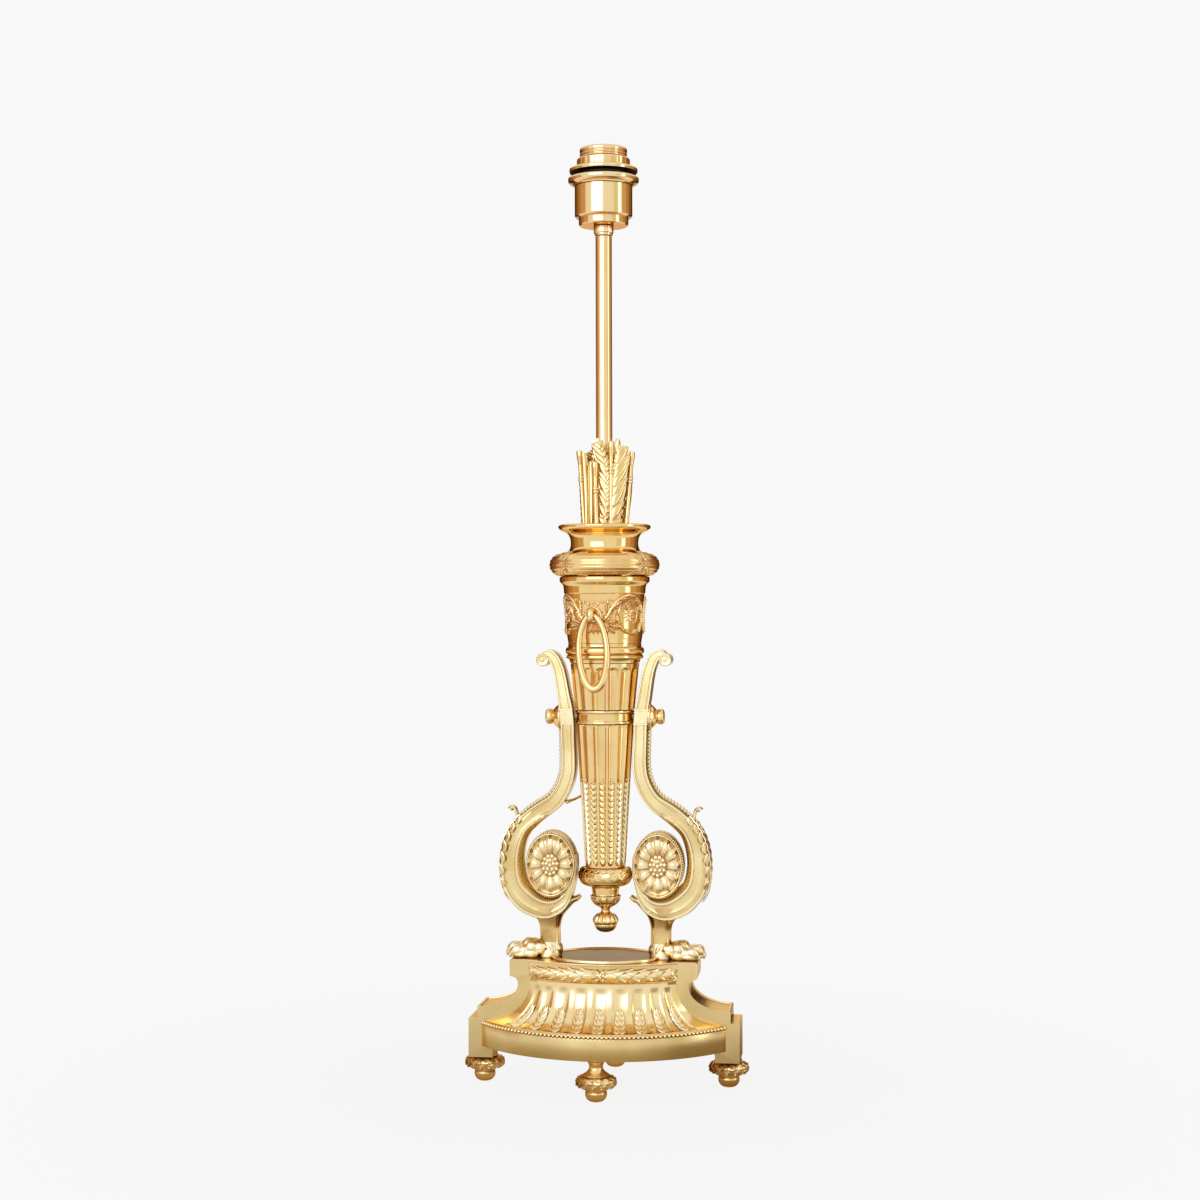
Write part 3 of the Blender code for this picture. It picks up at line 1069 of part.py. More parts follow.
def make_outlet():
    """The bushed cable outlet low at the quiver's rear."""
    z = LOWER_DRUM_Z + OUTLET_RISE
    bore = OUTLET_RADIUS - OUTLET_WALL
    outline = [
        (OUTLET_FLANGE, OUTLET_HEAD), (OUTLET_FLANGE, 0), (OUTLET_RADIUS, 0),
        (OUTLET_RADIUS, -OUTLET_LENGTH), (bore, -OUTLET_LENGTH), (bore, OUTLET_HEAD),
    ]
    bm = spin(outline, PIN_SIDES)
    bmesh.ops.rotate(bm, matrix=Matrix.Rotation(-pi / 2, 3, "X"), verts=bm.verts)
    face = drum_radius(z + OUTLET_FLANGE) + TOUCH
    part("cable_outlet_bush", bm, LACQUERED_BRASS, (0, face, z))


# Lampholder

def make_lampholder():
    outline = stacked(HOLDER_COLLAR_SHARES, HOLDER_COLLAR_RADIUS, HOLDER_COLLAR_HEIGHT, TIE_BORE, TIE_BORE)
    part("holder_collar", spin(outline, SMALL_SIDES), LACQUERED_BRASS, (0, 0, HOLDER_Z))
    outline = scaled(HOLDER_CUP_SHARES, HOLDER_CUP_RADIUS, HOLDER_CUP_HEIGHT)
    step = HOLDER_CUP_RADIUS * HOLDER_CUP_SHARES[4][0] - HOLDER_CUP_WALL
    shoulder = HOLDER_CUP_HEIGHT * HOLDER_CUP_SHARES[1][1] + HOLDER_CUP_WALL
    inner = HOLDER_CUP_RADIUS - HOLDER_CUP_WALL
    outline += [
        (TIE_BORE, 0), (TIE_BORE, HOLDER_CUP_WALL), (step, HOLDER_CUP_WALL), (step, shoulder),
        (inner, shoulder), (inner, HOLDER_CUP_HEIGHT),
    ]
    part("holder_cup", spin(outline), LACQUERED_BRASS, (0, 0, HOLDER_CUP_Z))
    bore = clear_bore(TIE_RADIUS, NUT_SIDES)
    nut_z = HOLDER_CUP_Z + HOLDER_CUP_WALL + TOUCH
    outline = [(TIE_NUT_RADIUS, TIE_NUT_HEIGHT), (TIE_NUT_RADIUS, 0)]
    part("tie_nut", spin(sleeve(outline, bore, bore), NUT_SIDES), STEEL, (0, 0, nut_z))
    make_skirt(inner - TOUCH)
    bore = SKIRT_RADIUS + TURNING
    outline = scaled(LOWER_RING_SHARES, LOWER_RING_RADIUS, LOWER_RING_HEIGHT)
    part("shade_ring_lower", spin(sleeve(outline, bore, bore)), LACQUERED_BRASS, (0, 0, LOWER_RING_Z))
    flange = scaled(UPPER_RING_FLANGE_SHARES, UPPER_RING_RADIUS, UPPER_RING_HEIGHT)
    shoulder = flange[0][1] + TOUCH
    outline = [
        (UPPER_RING_HUB - TURNING, UPPER_RING_HEIGHT), (UPPER_RING_HUB, UPPER_RING_HEIGHT - TURNING),
        (UPPER_RING_HUB, shoulder), (UPPER_RING_RADIUS - TURNING, shoulder),
    ]
    part("shade_ring_upper", spin(sleeve(outline + flange, bore, bore)), LACQUERED_BRASS, (0, 0, UPPER_RING_Z))
    make_insert(nut_z + TIE_NUT_HEIGHT + 2 * TOUCH)


def make_skirt(flange):
    """The threaded skirt, with a flange that seats inside the cup."""
    inner = SKIRT_RADIUS - SKIRT_WALL
    lip = inner - SKIRT_WALL / 2
    outline = [(SKIRT_RADIUS * THREAD_DEPTH_SHARE, SKIRT_LENGTH)]
    for i, rise in enumerate(THREAD_SHARES):
        radius = SKIRT_RADIUS * (1 if i % 4 < 2 else THREAD_DEPTH_SHARE)
        outline.append((radius, SKIRT_LENGTH * rise))
    cup_edge = SKIRT_INSET
    outline += [
        (SKIRT_RADIUS, SKIRT_LENGTH * THREAD_SHARES[-1] - TURNING), (SKIRT_RADIUS, cup_edge - TOUCH),
        (flange, cup_edge - TOUCH), (flange, 0), (inner, 0), (inner, SKIRT_LENGTH - SKIRT_WALL), (lip, SKIRT_LENGTH),
    ]
    part("holder_skirt", spin(outline), LACQUERED_BRASS, (0, 0, SKIRT_Z))


def make_insert(foot):
    """The porcelain insert with the screw shell, the centre contact and the terminal screws."""
    outer = SKIRT_RADIUS - SKIRT_WALL - TOUCH
    bore = SHELL_RADIUS + TOUCH
    outline = [(outer, INSERT_HEIGHT), (outer, 0), (0, 0), (0, INSERT_BASE), (bore, INSERT_BASE), (bore, INSERT_HEIGHT)]
    bm = spin([(bore, INSERT_HEIGHT)] + outline[:3], closed=False)
    well = spin([(0, INSERT_BASE), (bore, INSERT_BASE), (bore, INSERT_HEIGHT)], closed=False)
    merge(bm, well)
    part("ceramic_insert", bm, PORCELAIN, (0, 0, foot))
    shell_z = foot + INSERT_BASE + TOUCH
    inner = SHELL_RADIUS - SHELL_WALL
    mouth = SHELL_RADIUS * 3 / 4
    outline = [
        (SHELL_RADIUS, SHELL_HEIGHT), (SHELL_RADIUS, 0), (mouth, 0), (mouth, SHELL_WALL), (inner, SHELL_WALL), (inner, SHELL_HEIGHT)
    ]
    part("screw_shell", spin(outline), LACQUERED_BRASS, (0, 0, shell_z))
    make_contact(mouth - 2 * TOUCH, shell_z)
    for side in (-1, 1):
        x = side * (TIE_NUT_RADIUS + TERMINAL_RADIUS + 2 * TOUCH)
        screw = rod_along((x, 0, foot - TOUCH - TERMINAL_HEIGHT), (x, 0, foot - TOUCH), TERMINAL_RADIUS)
        part(f"terminal_screw_{side_name(side)}", screw, STEEL)


def make_contact(reach, foot):
    """A sprung tongue that rises from one side to the middle."""
    width = sqrt(reach**2 - (CONTACT_WIDTH / 2) ** 2)
    line = [(-width, 0), (-width / 2, 0), (0, CONTACT_RISE), (width / 3, CONTACT_RISE)]
    rings = []
    for x, z in line:
        y = CONTACT_WIDTH / 2
        top = z + CONTACT_THICKNESS
        rings.append([(x, -y, z), (x, y, z), (x, y, top), (x, -y, top)])
    part("centre_contact", loft(rings), LACQUERED_BRASS, (0, 0, foot))


def main():
    clear_scene()
    make_slab()
    for end in (-1, 1):
        make_bow(end)
        make_laurel_band(end)
        make_bead_string(end)
    make_top_plate()
    make_feet()
    for side in (-1, 1):
        make_leg(side)
        make_rosette(side)
        make_leaf(side)
        make_paw(side)
        make_pivot(side)
        make_paw_fixings(side)
    make_quiver()
    make_mast()
    make_arrows()
    make_ring_handle()
    make_staple()
    make_stay()
    make_outlet()
    make_lampholder()


main()
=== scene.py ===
"""The look of the gilt quiver lamp: camera, light, floor, finishes and detailed pieces."""

from math import asin, atan2, cos, exp, hypot, pi, radians, sin, sqrt

import bmesh
import bpy
from mathutils import Matrix, Vector


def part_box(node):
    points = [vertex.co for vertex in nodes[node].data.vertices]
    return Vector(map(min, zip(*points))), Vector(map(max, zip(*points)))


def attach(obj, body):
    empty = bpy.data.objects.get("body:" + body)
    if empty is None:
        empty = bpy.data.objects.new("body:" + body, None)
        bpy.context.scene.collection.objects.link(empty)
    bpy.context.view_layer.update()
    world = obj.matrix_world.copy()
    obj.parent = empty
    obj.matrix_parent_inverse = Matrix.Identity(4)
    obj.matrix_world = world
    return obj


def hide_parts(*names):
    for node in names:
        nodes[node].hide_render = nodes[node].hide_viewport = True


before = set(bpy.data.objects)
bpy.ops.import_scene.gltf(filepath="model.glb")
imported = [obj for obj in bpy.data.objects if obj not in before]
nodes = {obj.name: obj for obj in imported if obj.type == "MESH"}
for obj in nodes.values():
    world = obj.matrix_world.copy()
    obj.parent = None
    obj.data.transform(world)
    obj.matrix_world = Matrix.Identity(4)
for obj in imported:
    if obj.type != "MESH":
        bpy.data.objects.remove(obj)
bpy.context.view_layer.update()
MM = 0.001
LAMP = "lamp"


# ---------------------------------------------------------------- objects and shader nodes
def put(name, data):
    """A new object that holds the data, linked to the scene."""
    obj = bpy.data.objects.new(name, data)
    bpy.context.scene.collection.objects.link(obj)
    return obj


def put_mesh(name, bm):
    mesh = bpy.data.meshes.new(name)
    bm.to_mesh(mesh)
    bm.free()
    return put(name, mesh)


def fill(tree, node, inputs):
    """Set a node's inputs, by name or number, to a number, a colour or what another node gives."""
    for label, value in inputs.items():
        socket = node.inputs[label]
        if isinstance(value, bpy.types.NodeSocket):
            tree.links.new(value, socket)
        else:
            socket.default_value = (*value, 1) if socket.type == "RGBA" else value


def add_node(tree, kind, inputs=None, **settings):
    node = tree.nodes.new("ShaderNode" + kind)
    for setting, value in settings.items():
        setattr(node, setting, value)
    fill(tree, node, inputs or {})
    return node


def maths(tree, operation, first, second):
    return add_node(tree, "Math", {0: first, 1: second}, operation=operation).outputs[0]


def vector_maths(tree, operation, first, second=(0, 0, 0)):
    return add_node(tree, "VectorMath", {0: first, 1: second}, operation=operation).outputs["Value"]


def blend_colours(tree, share, first, second):
    mix = add_node(tree, "Mix", data_type="RGBA")
    one, other = (number for number, socket in enumerate(mix.inputs) if socket.type == "RGBA")
    fill(tree, mix, {"Factor": share, one: first, other: second})
    return next(socket for socket in mix.outputs if socket.type == "RGBA")


def spread(tree, value, low, high, to_low=0.0, to_high=1.0):
    """The value taken from one range to another."""
    ends = {"Value": value, "From Min": low, "From Max": high, "To Min": to_low, "To Max": to_high}
    return add_node(tree, "MapRange", ends).outputs["Result"]


def cloud(tree, place, scale, detail):
    return add_node(tree, "TexNoise", {"Vector": place, "Scale": scale, "Detail": detail}).outputs["Fac"]


def object_place(tree):
    return add_node(tree, "TexCoord").outputs["Object"]


def glow(tree, colour):
    return add_node(tree, "Emission", {"Color": colour}).outputs[0]


def bare_material(obj):
    """The node tree of a new, empty material on the object, with the object's name."""
    material = bpy.data.materials.new(obj.name)
    material.use_nodes = True
    material.node_tree.nodes.clear()
    obj.data.materials.append(material)
    return material.node_tree


# ---------------------------------------------------------------- camera and studio
CAMERA_TURN = radians(7.275)
CAMERA_DISTANCE = 1.68671
CAMERA_HEIGHT = 0.39294
CAMERA_YAW = radians(0.134)
CAMERA_RISE = radians(0.441)
CAMERA_ROLL = radians(0.163)
LENS = 60.13
SENSOR_WIDTH = 36
WHITE = (0.94, 0.94, 0.94)
WORLD_LIGHT = 0.42
FLOOR_REACH = 9
FLOOR_PAINT = (0.9, 0.9, 0.9)
# Where the floor begins to fade into the backdrop, where it has faded, and its share of glow at both
FLOOR_FADE = (0.10, 0.55, 0.94, 1.0)
SOFT_BOX_AIM = Vector((0, 0, 0.42))
# Glowing cards round the lamp, seen only in reflections, that paint warm and dark reflections on the gilding's sides
# and a yellowish one to the front right: first and last angle from the camera, and colour
CARD_REACH = 1.25
CARD_FOOT = 0.004
CARD_TOP = 1.15
CARDS = (
    (77, 100, (0.64, 0.43, 0.22)),
    (100, 121, (0.50, 0.27, 0.10)),
    (121, 142, (0.24, 0.14, 0.06)),
    (142, 164, (0.07, 0.045, 0.025)),
    (-102, -76, (0.62, 0.38, 0.18)),
    (-121, -102, (0.48, 0.24, 0.08)),
    (-142, -121, (0.24, 0.13, 0.055)),
    (-164, -142, (0.07, 0.045, 0.025)),
    (40, 58, (0.78, 0.78, 0.50)),
)
REFLECTED_SHADE_REACH = 0.70
REFLECTED_SHADE_HEIGHT = 0.0015
# Painted reflected shade: the colours the gilding sees on the floor near the feet and on the right.
REFLECTED_SHADE_NEAR = (0.43, 0.34, 0.20)
REFLECTED_SHADE_SIDE = (0.28, 0.20, 0.10)
# Where the disc of painted reflected shade turns white, how far to the right it darkens, and where that ends, in metres
# or as a share
REFLECTED_SHADE_FADE = (0.14, 0.46)
REFLECTED_SHADE_RIGHT = (0.30, 0.80)
REFLECTED_SHADE_RIGHT_END = (0.62, 0.36)


def place_camera():
    data = bpy.data.cameras.new("photo_camera")
    data.lens = LENS
    data.sensor_width = SENSOR_WIDTH
    data.clip_start = 0.05
    data.clip_end = 60
    camera = put("photo_camera", data)
    look = Matrix.Rotation(CAMERA_TURN + CAMERA_YAW, 4, "Z") @ Matrix.Rotation(pi / 2 + CAMERA_RISE, 4, "X")
    look = look @ Matrix.Rotation(-CAMERA_ROLL, 4, "Z")
    camera.matrix_world = Matrix.Translation(studio_point(0, CAMERA_DISTANCE, CAMERA_HEIGHT)) @ look
    bpy.context.scene.camera = camera


def studio_point(turn_from_camera, reach, height):
    """A point round the lamp, at an angle from the camera's side, positive to the right."""
    bearing = CAMERA_TURN + radians(turn_from_camera)
    return Vector((reach * sin(bearing), -reach * cos(bearing), height))


def soft_box(name, turn, reach, height, wide, tall, radiance, colour):
    light = bpy.data.lights.new(name, "AREA")
    light.shape = "RECTANGLE"
    light.size = wide
    light.size_y = tall
    light.energy = radiance * pi * wide * tall
    light.color = colour
    box = put(name, light)
    stand = studio_point(turn, reach, height)
    look = (SOFT_BOX_AIM - stand).to_track_quat("-Z", "Y").to_matrix().to_4x4()
    box.matrix_world = Matrix.Translation(stand) @ look
    box.visible_camera = False


def seen_share(tree):
    """One where a camera, mirror or clear ray looks at the backdrop, nought for light."""
    rays = add_node(tree, "LightPath").outputs
    seen = maths(tree, "MAXIMUM", rays["Is Camera Ray"], rays["Is Glossy Ray"])
    return maths(tree, "MAXIMUM", seen, rays["Is Transmission Ray"])


def light_world():
    world = bpy.data.worlds.new("studio")
    world.use_nodes = True
    bpy.context.scene.world = world
    tree = world.node_tree
    tree.nodes.clear()
    lit = add_node(tree, "Background", {"Color": (1, 1, 1), "Strength": WORLD_LIGHT})
    seen = add_node(tree, "Background", {"Color": WHITE, "Strength": 1})
    mix = add_node(tree, "MixShader", {0: seen_share(tree), 1: lit.outputs[0], 2: seen.outputs[0]})
    add_node(tree, "OutputWorld", {"Surface": mix.outputs[0]})


def disc(name, reach, height=0.0):
    bm = bmesh.new()
    bmesh.ops.create_circle(bm, cap_ends=True, segments=64, radius=reach)
    bmesh.ops.translate(bm, vec=(0, 0, height), verts=bm.verts)
    return put_mesh(name, bm)


def lay_floor():
    floor = disc("floor", FLOOR_REACH)
    tree = bare_material(floor)
    paint = add_node(tree, "BsdfDiffuse", {"Color": FLOOR_PAINT})
    fade = spread(tree, vector_maths(tree, "LENGTH", object_place(tree)), *FLOOR_FADE)
    share = maths(tree, "MULTIPLY", fade, seen_share(tree))
    mix = add_node(tree, "MixShader", {0: share, 1: paint.outputs[0], 2: glow(tree, WHITE)})
    add_node(tree, "OutputMaterial", {"Surface": mix.outputs[0]})


def show_to_mirrors_only(obj, tree, colour):
    """Let the object glow in reflections, and be neither seen nor give light."""
    add_node(tree, "OutputMaterial", {"Surface": glow(tree, colour)})
    obj.visible_camera = False
    obj.visible_diffuse = False
    obj.visible_shadow = False
    obj.visible_transmission = False


def hang_reflection_cards():
    for number, (first, last, colour) in enumerate(CARDS):
        bm = bmesh.new()
        ends = [bm.verts.new(studio_point(first, CARD_REACH, z)) for z in (CARD_FOOT, CARD_TOP)]
        edge = bm.edges.new(ends)
        bmesh.ops.spin(
            bm, geom=[*ends, edge], cent=(0, 0, 0), axis=(0, 0, 1), angle=radians(last - first), steps=8
        )
        card = put_mesh(f"painted_reflection_card_{number}", bm)
        # Painted reflection: each card glows only in the gilding's reflections.
        show_to_mirrors_only(card, bare_material(card), colour)


def lay_reflected_shade():
    """A glowing disc that only the gilding reflects, painted reflected shade, darkest close to the feet and on the
    right.
    """
    shade_disc = disc("painted_reflected_shade", REFLECTED_SHADE_REACH, REFLECTED_SHADE_HEIGHT)
    tree = bare_material(shade_disc)
    place = object_place(tree)
    reach = vector_maths(tree, "LENGTH", place)
    right = vector_maths(tree, "DOT_PRODUCT", place, (cos(CAMERA_TURN), sin(CAMERA_TURN), 0))
    tone = blend_colours(tree, spread(tree, reach, *REFLECTED_SHADE_FADE), REFLECTED_SHADE_NEAR, WHITE)
    right_shade = spread(tree, maths(tree, "DIVIDE", right, reach), *REFLECTED_SHADE_RIGHT)
    right_shade = maths(tree, "MULTIPLY", right_shade, spread(tree, reach, *REFLECTED_SHADE_RIGHT_END))
    show_to_mirrors_only(shade_disc, tree, blend_colours(tree, right_shade, tone, REFLECTED_SHADE_SIDE))


place_camera()
bpy.context.scene.view_settings.view_transform = "Standard"
light_world()
lay_floor()
hang_reflection_cards()
lay_reflected_shade()
soft_box(
    "key_box", turn=-26, reach=1.9, height=0.98, wide=1.5, tall=1.24, radiance=2.1, colour=(0.70, 0.83, 1.0)
)
soft_box(
    "side_strip", turn=67, reach=1.6, height=0.6, wide=0.30, tall=1.2, radiance=1.8, colour=(0.80, 0.90, 1.0)
)


# ---------------------------------------------------------------- finishes
GILDING_SOCKETS = (
    ("INPUT", "Color", ("Gold", "Deep gold and painted shade", "Rubbed gold and painted highlight")),
    ("INPUT", "Float", ("Roughness", "Patch scale", "Grain scale", "Mottle")),
    ("OUTPUT", "Color", ("Colour",)),
    ("OUTPUT", "Float", ("Roughness", "Height")),
)
RECESS_REACH = 0.005
# The spans over which the finish goes from plain to deepest or palest: the painted shade in recesses, the edges that
# are partly rubbed and partly painted highlight, and the random patches
RECESS_SHADE_SPAN = (0.92, 0.35)
RUBBED_AND_HIGHLIGHT_SPAN = (0.51, 0.58)
PATCH_SPAN = (0.35, 0.68)
CLOUD_SPAN = (0.3, 0.7)


def make_gilding():
    """Gold darkened in the recesses as painted shade, paler on the edges as partly rubbing and partly painted
    highlight, and slightly uneven all over.
    """
    tree = bpy.data.node_groups.new("gilding", "ShaderNodeTree")
    for way, kind, labels in GILDING_SOCKETS:
        for label in labels:
            tree.interface.new_socket(label, in_out=way, socket_type="NodeSocket" + kind)
    given = tree.nodes.new("NodeGroupInput").outputs
    place = object_place(tree)
    patches = cloud(tree, place, given["Patch scale"], 3.0)
    grain = cloud(tree, place, given["Grain scale"], 2.0)
    # Painted shade: the gold turns to its deep colour where ambient occlusion finds a recess.
    recess = add_node(tree, "AmbientOcclusion", {"Distance": RECESS_REACH}, samples=6)
    painted_recess_shade = spread(tree, recess.outputs["AO"], *RECESS_SHADE_SPAN)
    # Partly rubbing and partly painted highlight: the gold turns paler on sharp convex edges.
    rubbed_edge_and_highlight = spread(tree, add_node(tree, "NewGeometry").outputs["Pointiness"], *RUBBED_AND_HIGHLIGHT_SPAN)
    tone = given["Gold"]
    for place_share, weight, other in (
        (spread(tree, patches, *PATCH_SPAN), given["Mottle"], "Deep gold and painted shade"), (painted_recess_shade, 0.85, "Deep gold and painted shade"),
        (rubbed_edge_and_highlight, 0.6, "Rubbed gold and painted highlight"),
    ):
        tone = blend_colours(tree, maths(tree, "MULTIPLY", place_share, weight), tone, given[other])
    dull = given["Roughness"]
    for more in (
        maths(tree, "MULTIPLY", painted_recess_shade, 0.14), spread(tree, grain, *CLOUD_SPAN, -0.035, 0.05),
        spread(tree, patches, *CLOUD_SPAN, -0.02, 0.03),
    ):
        dull = maths(tree, "ADD", dull, more)
    fill(tree, tree.nodes.new("NodeGroupOutput"), {"Colour": tone, "Roughness": dull, "Height": grain})
    return tree


GILDING = make_gilding()


def gilt(name, gold, deep, rubbed_and_highlight, roughness, edge, patch=38.0, grain=900.0, relief=0.00002, mottle=0.3):
    """A gilded finish. Edge is its tint at a grazing angle, patch and grain are scales, relief is in metres. Deep is
    the colour of its random patches and of its painted shade in recesses, rubbed that of its edges, partly rubbing and
    partly painted highlight.
    """
    material = bpy.data.materials.new(name)
    material.use_nodes = True
    tree = material.node_tree
    skin = add_node(tree, "Group", {
        "Gold": gold, "Deep gold and painted shade": deep, "Rubbed gold and painted highlight": rubbed_and_highlight, "Roughness": roughness, "Patch scale": patch,
        "Grain scale": grain, "Mottle": mottle,
    }, node_tree=GILDING).outputs
    bump = add_node(tree, "Bump", {"Strength": 1, "Distance": relief, "Height": skin["Height"]})
    fill(tree, tree.nodes["Principled BSDF"], {
        "Base Color": skin["Colour"], "Metallic": 1, "Roughness": skin["Roughness"], "Specular Tint": edge,
        "Normal": bump.outputs["Normal"],
    })
    return material


POLISHED = gilt(
    "polished_gilding", (0.92, 0.68, 0.32), (0.64, 0.31, 0.07), (0.98, 0.84, 0.52), 0.13, (0.80, 0.52, 0.30)
)
BRIGHT = gilt(
    "burnished_gilding", (0.92, 0.68, 0.31), (0.70, 0.36, 0.09), (0.98, 0.82, 0.48), 0.08, (0.76, 0.46, 0.24),
    patch=22.0, grain=500.0, relief=0.000008,
)
MATTED = gilt(
    "matted_gilding", (0.96, 0.77, 0.43), (0.56, 0.30, 0.07), (1.0, 0.92, 0.68), 0.27, (0.90, 0.72, 0.48),
    patch=50.0, grain=1300.0, relief=0.00004,
)
SATIN = gilt(
    "satin_gilding", (0.90, 0.68, 0.31), (0.54, 0.36, 0.11), (0.98, 0.84, 0.52), 0.20, (0.84, 0.62, 0.40),
    patch=24.0, grain=1400.0, relief=0.00003, mottle=0.6,
)
LEG_GOLD = gilt(
    "leg_gilding", (0.98, 0.82, 0.46), (0.64, 0.44, 0.15), (1.0, 0.95, 0.72), 0.22, (0.90, 0.74, 0.50),
    patch=26.0, grain=1400.0, relief=0.00003, mottle=0.75,
)
# The paw's matted gilding, made paler to paint in its near-white highlights. Its paler deep colour eases the painted
# recess shade.
PAW_GOLD_AND_HIGHLIGHT = gilt(
    "paw_gilding_with_painted_highlight", (0.99, 0.86, 0.57), (0.74, 0.48, 0.18), (1.0, 0.96, 0.78), 0.27, (0.94, 0.80, 0.56),
    patch=50.0, grain=1300.0, relief=0.00004, mottle=0.2,
)
# The stem's polished gilding. Its very dark deep colour paints the shade under the scroll in its recess, and dark
# painted reflections in its random patches.
STEM_GOLD_AND_SHADE = gilt(
    "stem_gilding_with_painted_shade", (0.90, 0.66, 0.30), (0.40, 0.20, 0.05), (0.98, 0.84, 0.50), 0.10, (0.70, 0.44, 0.22),
    patch=40.0, grain=500.0, relief=0.00001, mottle=0.7,
)
BOW_GOLD = gilt(
    "bow_gilding", (0.96, 0.78, 0.44), (0.72, 0.44, 0.13), (1.0, 0.92, 0.64), 0.19, (0.84, 0.62, 0.36),
    patch=30.0, grain=1100.0, relief=0.00003, mottle=0.35,
)
FEATHER_GOLD = gilt(
    "feather_gilding", (0.91, 0.67, 0.31), (0.58, 0.30, 0.07), (1.0, 0.90, 0.58), 0.13, (0.82, 0.58, 0.34),
    patch=60.0, grain=1100.0, mottle=0.25,
)
CHASED = gilt(
    "chased_gilding", (0.92, 0.66, 0.30), (0.58, 0.25, 0.045), (0.98, 0.84, 0.54), 0.21, (0.80, 0.52, 0.30),
    patch=60.0, grain=1100.0, relief=0.00004,
)
BRASS = gilt(
    "lacquered_brass_finish", (0.92, 0.69, 0.37), (0.74, 0.40, 0.13), (0.97, 0.80, 0.52), 0.10, (0.78, 0.50, 0.32),
    patch=26.0, grain=700.0, relief=0.000008,
)
PLATE = gilt(
    "dark_plate_finish", (0.15, 0.125, 0.095), (0.05, 0.04, 0.03), (0.70, 0.56, 0.34), 0.09, (0.80, 0.60, 0.42),
    patch=34.0, grain=60.0, relief=0.0002, mottle=0.8,
)
# Painted shade: near-black brass for the faces in the gap between the shade rings, and on the skirt where the cup and
# rings hide it.
GAP_SHADE = gilt(
    "painted_gap_shade", (0.13, 0.08, 0.045), (0.05, 0.03, 0.02), (0.40, 0.26, 0.14), 0.45, (0.5, 0.35, 0.2),
    patch=60.0, mottle=0.5,
)
STEEL = gilt(
    "plain_steel_finish", (0.56, 0.55, 0.53), (0.36, 0.34, 0.32), (0.72, 0.71, 0.70), 0.34, (0.9, 0.9, 0.9),
    patch=60.0, grain=1600.0,
)


def make_porcelain():
    material = bpy.data.materials.new("glazed_porcelain")
    material.use_nodes = True
    tree = material.node_tree
    patches = spread(tree, cloud(tree, object_place(tree), 90.0, 3.0), *CLOUD_SPAN)
    fill(tree, tree.nodes["Principled BSDF"], {
        "Base Color": blend_colours(tree, patches, (0.88, 0.86, 0.80), (0.80, 0.77, 0.69)), "Roughness": 0.24,
        "Coat Weight": 0.6, "Coat Roughness": 0.08,
    })
    return material


PORCELAIN = make_porcelain()


# ---------------------------------------------------------------- ways of making
WELD = 0.001
LONG_RUN = 3.2
SUPPORT = 0.1
POLE_CLEAR = 1.0


def supported(outline, closed):
    """The outline with a point close to both ends of each long run, which keeps its shading straight.

    None is set close to the axis, where a ring of points would lie too tight.
    """
    outline = list(outline)
    points = []
    for (r, z), (next_r, next_z) in zip(outline, outline[1:] + (outline[:1] if closed else [])):
        points.append((r, z))
        run = hypot(next_r - r, next_z - z)
        if run > LONG_RUN:
            for share in (SUPPORT / run, 1 - SUPPORT / run):
                if r + (next_r - r) * share > POLE_CLEAR:
                    points.append((r + (next_r - r) * share, z + (next_z - z) * share))
    return points if closed else points + outline[-1:]


def turned(outline, sides=96, closed=True):
    """Spin an outline of (radius, height) in millimetres about the lamp's axis."""
    bm = bmesh.new()
    verts = [bm.verts.new((r * MM, 0, z * MM)) for r, z in supported(outline, closed)]
    ends = verts[1:] + (verts[:1] if closed else [])
    edges = [bm.edges.new(pair) for pair in zip(verts, ends)]
    bmesh.ops.spin(
        bm, geom=verts + edges, cent=(0, 0, 0), axis=(0, 0, 1), angle=2 * pi, steps=sides, use_merge=True
    )
    bmesh.ops.remove_doubles(bm, verts=bm.verts, dist=WELD * MM)
    return bm


def eased(knots, steps=5):
    """A smooth line through the knots, of any number of coordinates."""
    knots = [tuple(knot) for knot in knots]
    run = [knots[0]] + knots + [knots[-1]]
    line = []
    for a, b, c, d in zip(run, run[1:], run[2:], run[3:]):
        for step in range(steps):
            t = step / steps
            line.append(tuple(
                (2 * q + (r - p) * t + (2 * p - 5 * q + 4 * r - s) * t**2 + (3 * q - p - 3 * r + s) * t**3) / 2
                for p, q, r, s in zip(a, b, c, d)
            ))
    line.append(knots[-1])
    return line


def skinned(rings, joined=False):
    """Bridge sections of equal count one after the other, and cap the two ends."""
    bm = bmesh.new()
    loops = []
    for ring in rings:
        verts = [bm.verts.new(point) for point in ring]
        loops.append([bm.edges.new(pair) for pair in zip(verts, verts[1:] + verts[:1])])
    pairs = list(zip(loops, loops[1:]))
    if joined:
        pairs.append((loops[-1], loops[0]))
    for first, second in pairs:
        bmesh.ops.bridge_loops(bm, edges=first + second)
    if not joined:
        bmesh.ops.contextual_create(bm, geom=loops[0])
        bmesh.ops.contextual_create(bm, geom=loops[-1])
    return bm


def as_mesh(bm):
    mesh = bpy.data.meshes.new("stamp")
    bmesh.ops.recalc_face_normals(bm, faces=bm.faces)
    bm.to_mesh(mesh)
    bm.free()
    return mesh


def stamp(whole, mesh, place=Matrix()):
    """Add a copy of a small mesh to a larger one, moved to its place."""
    moved = mesh.copy()
    moved.transform(place)
    whole.from_mesh(moved)
    bpy.data.meshes.remove(moved)


def join(whole, bm, place=Matrix()):
    mesh = as_mesh(bm)
    stamp(whole, mesh, place)
    bpy.data.meshes.remove(mesh)


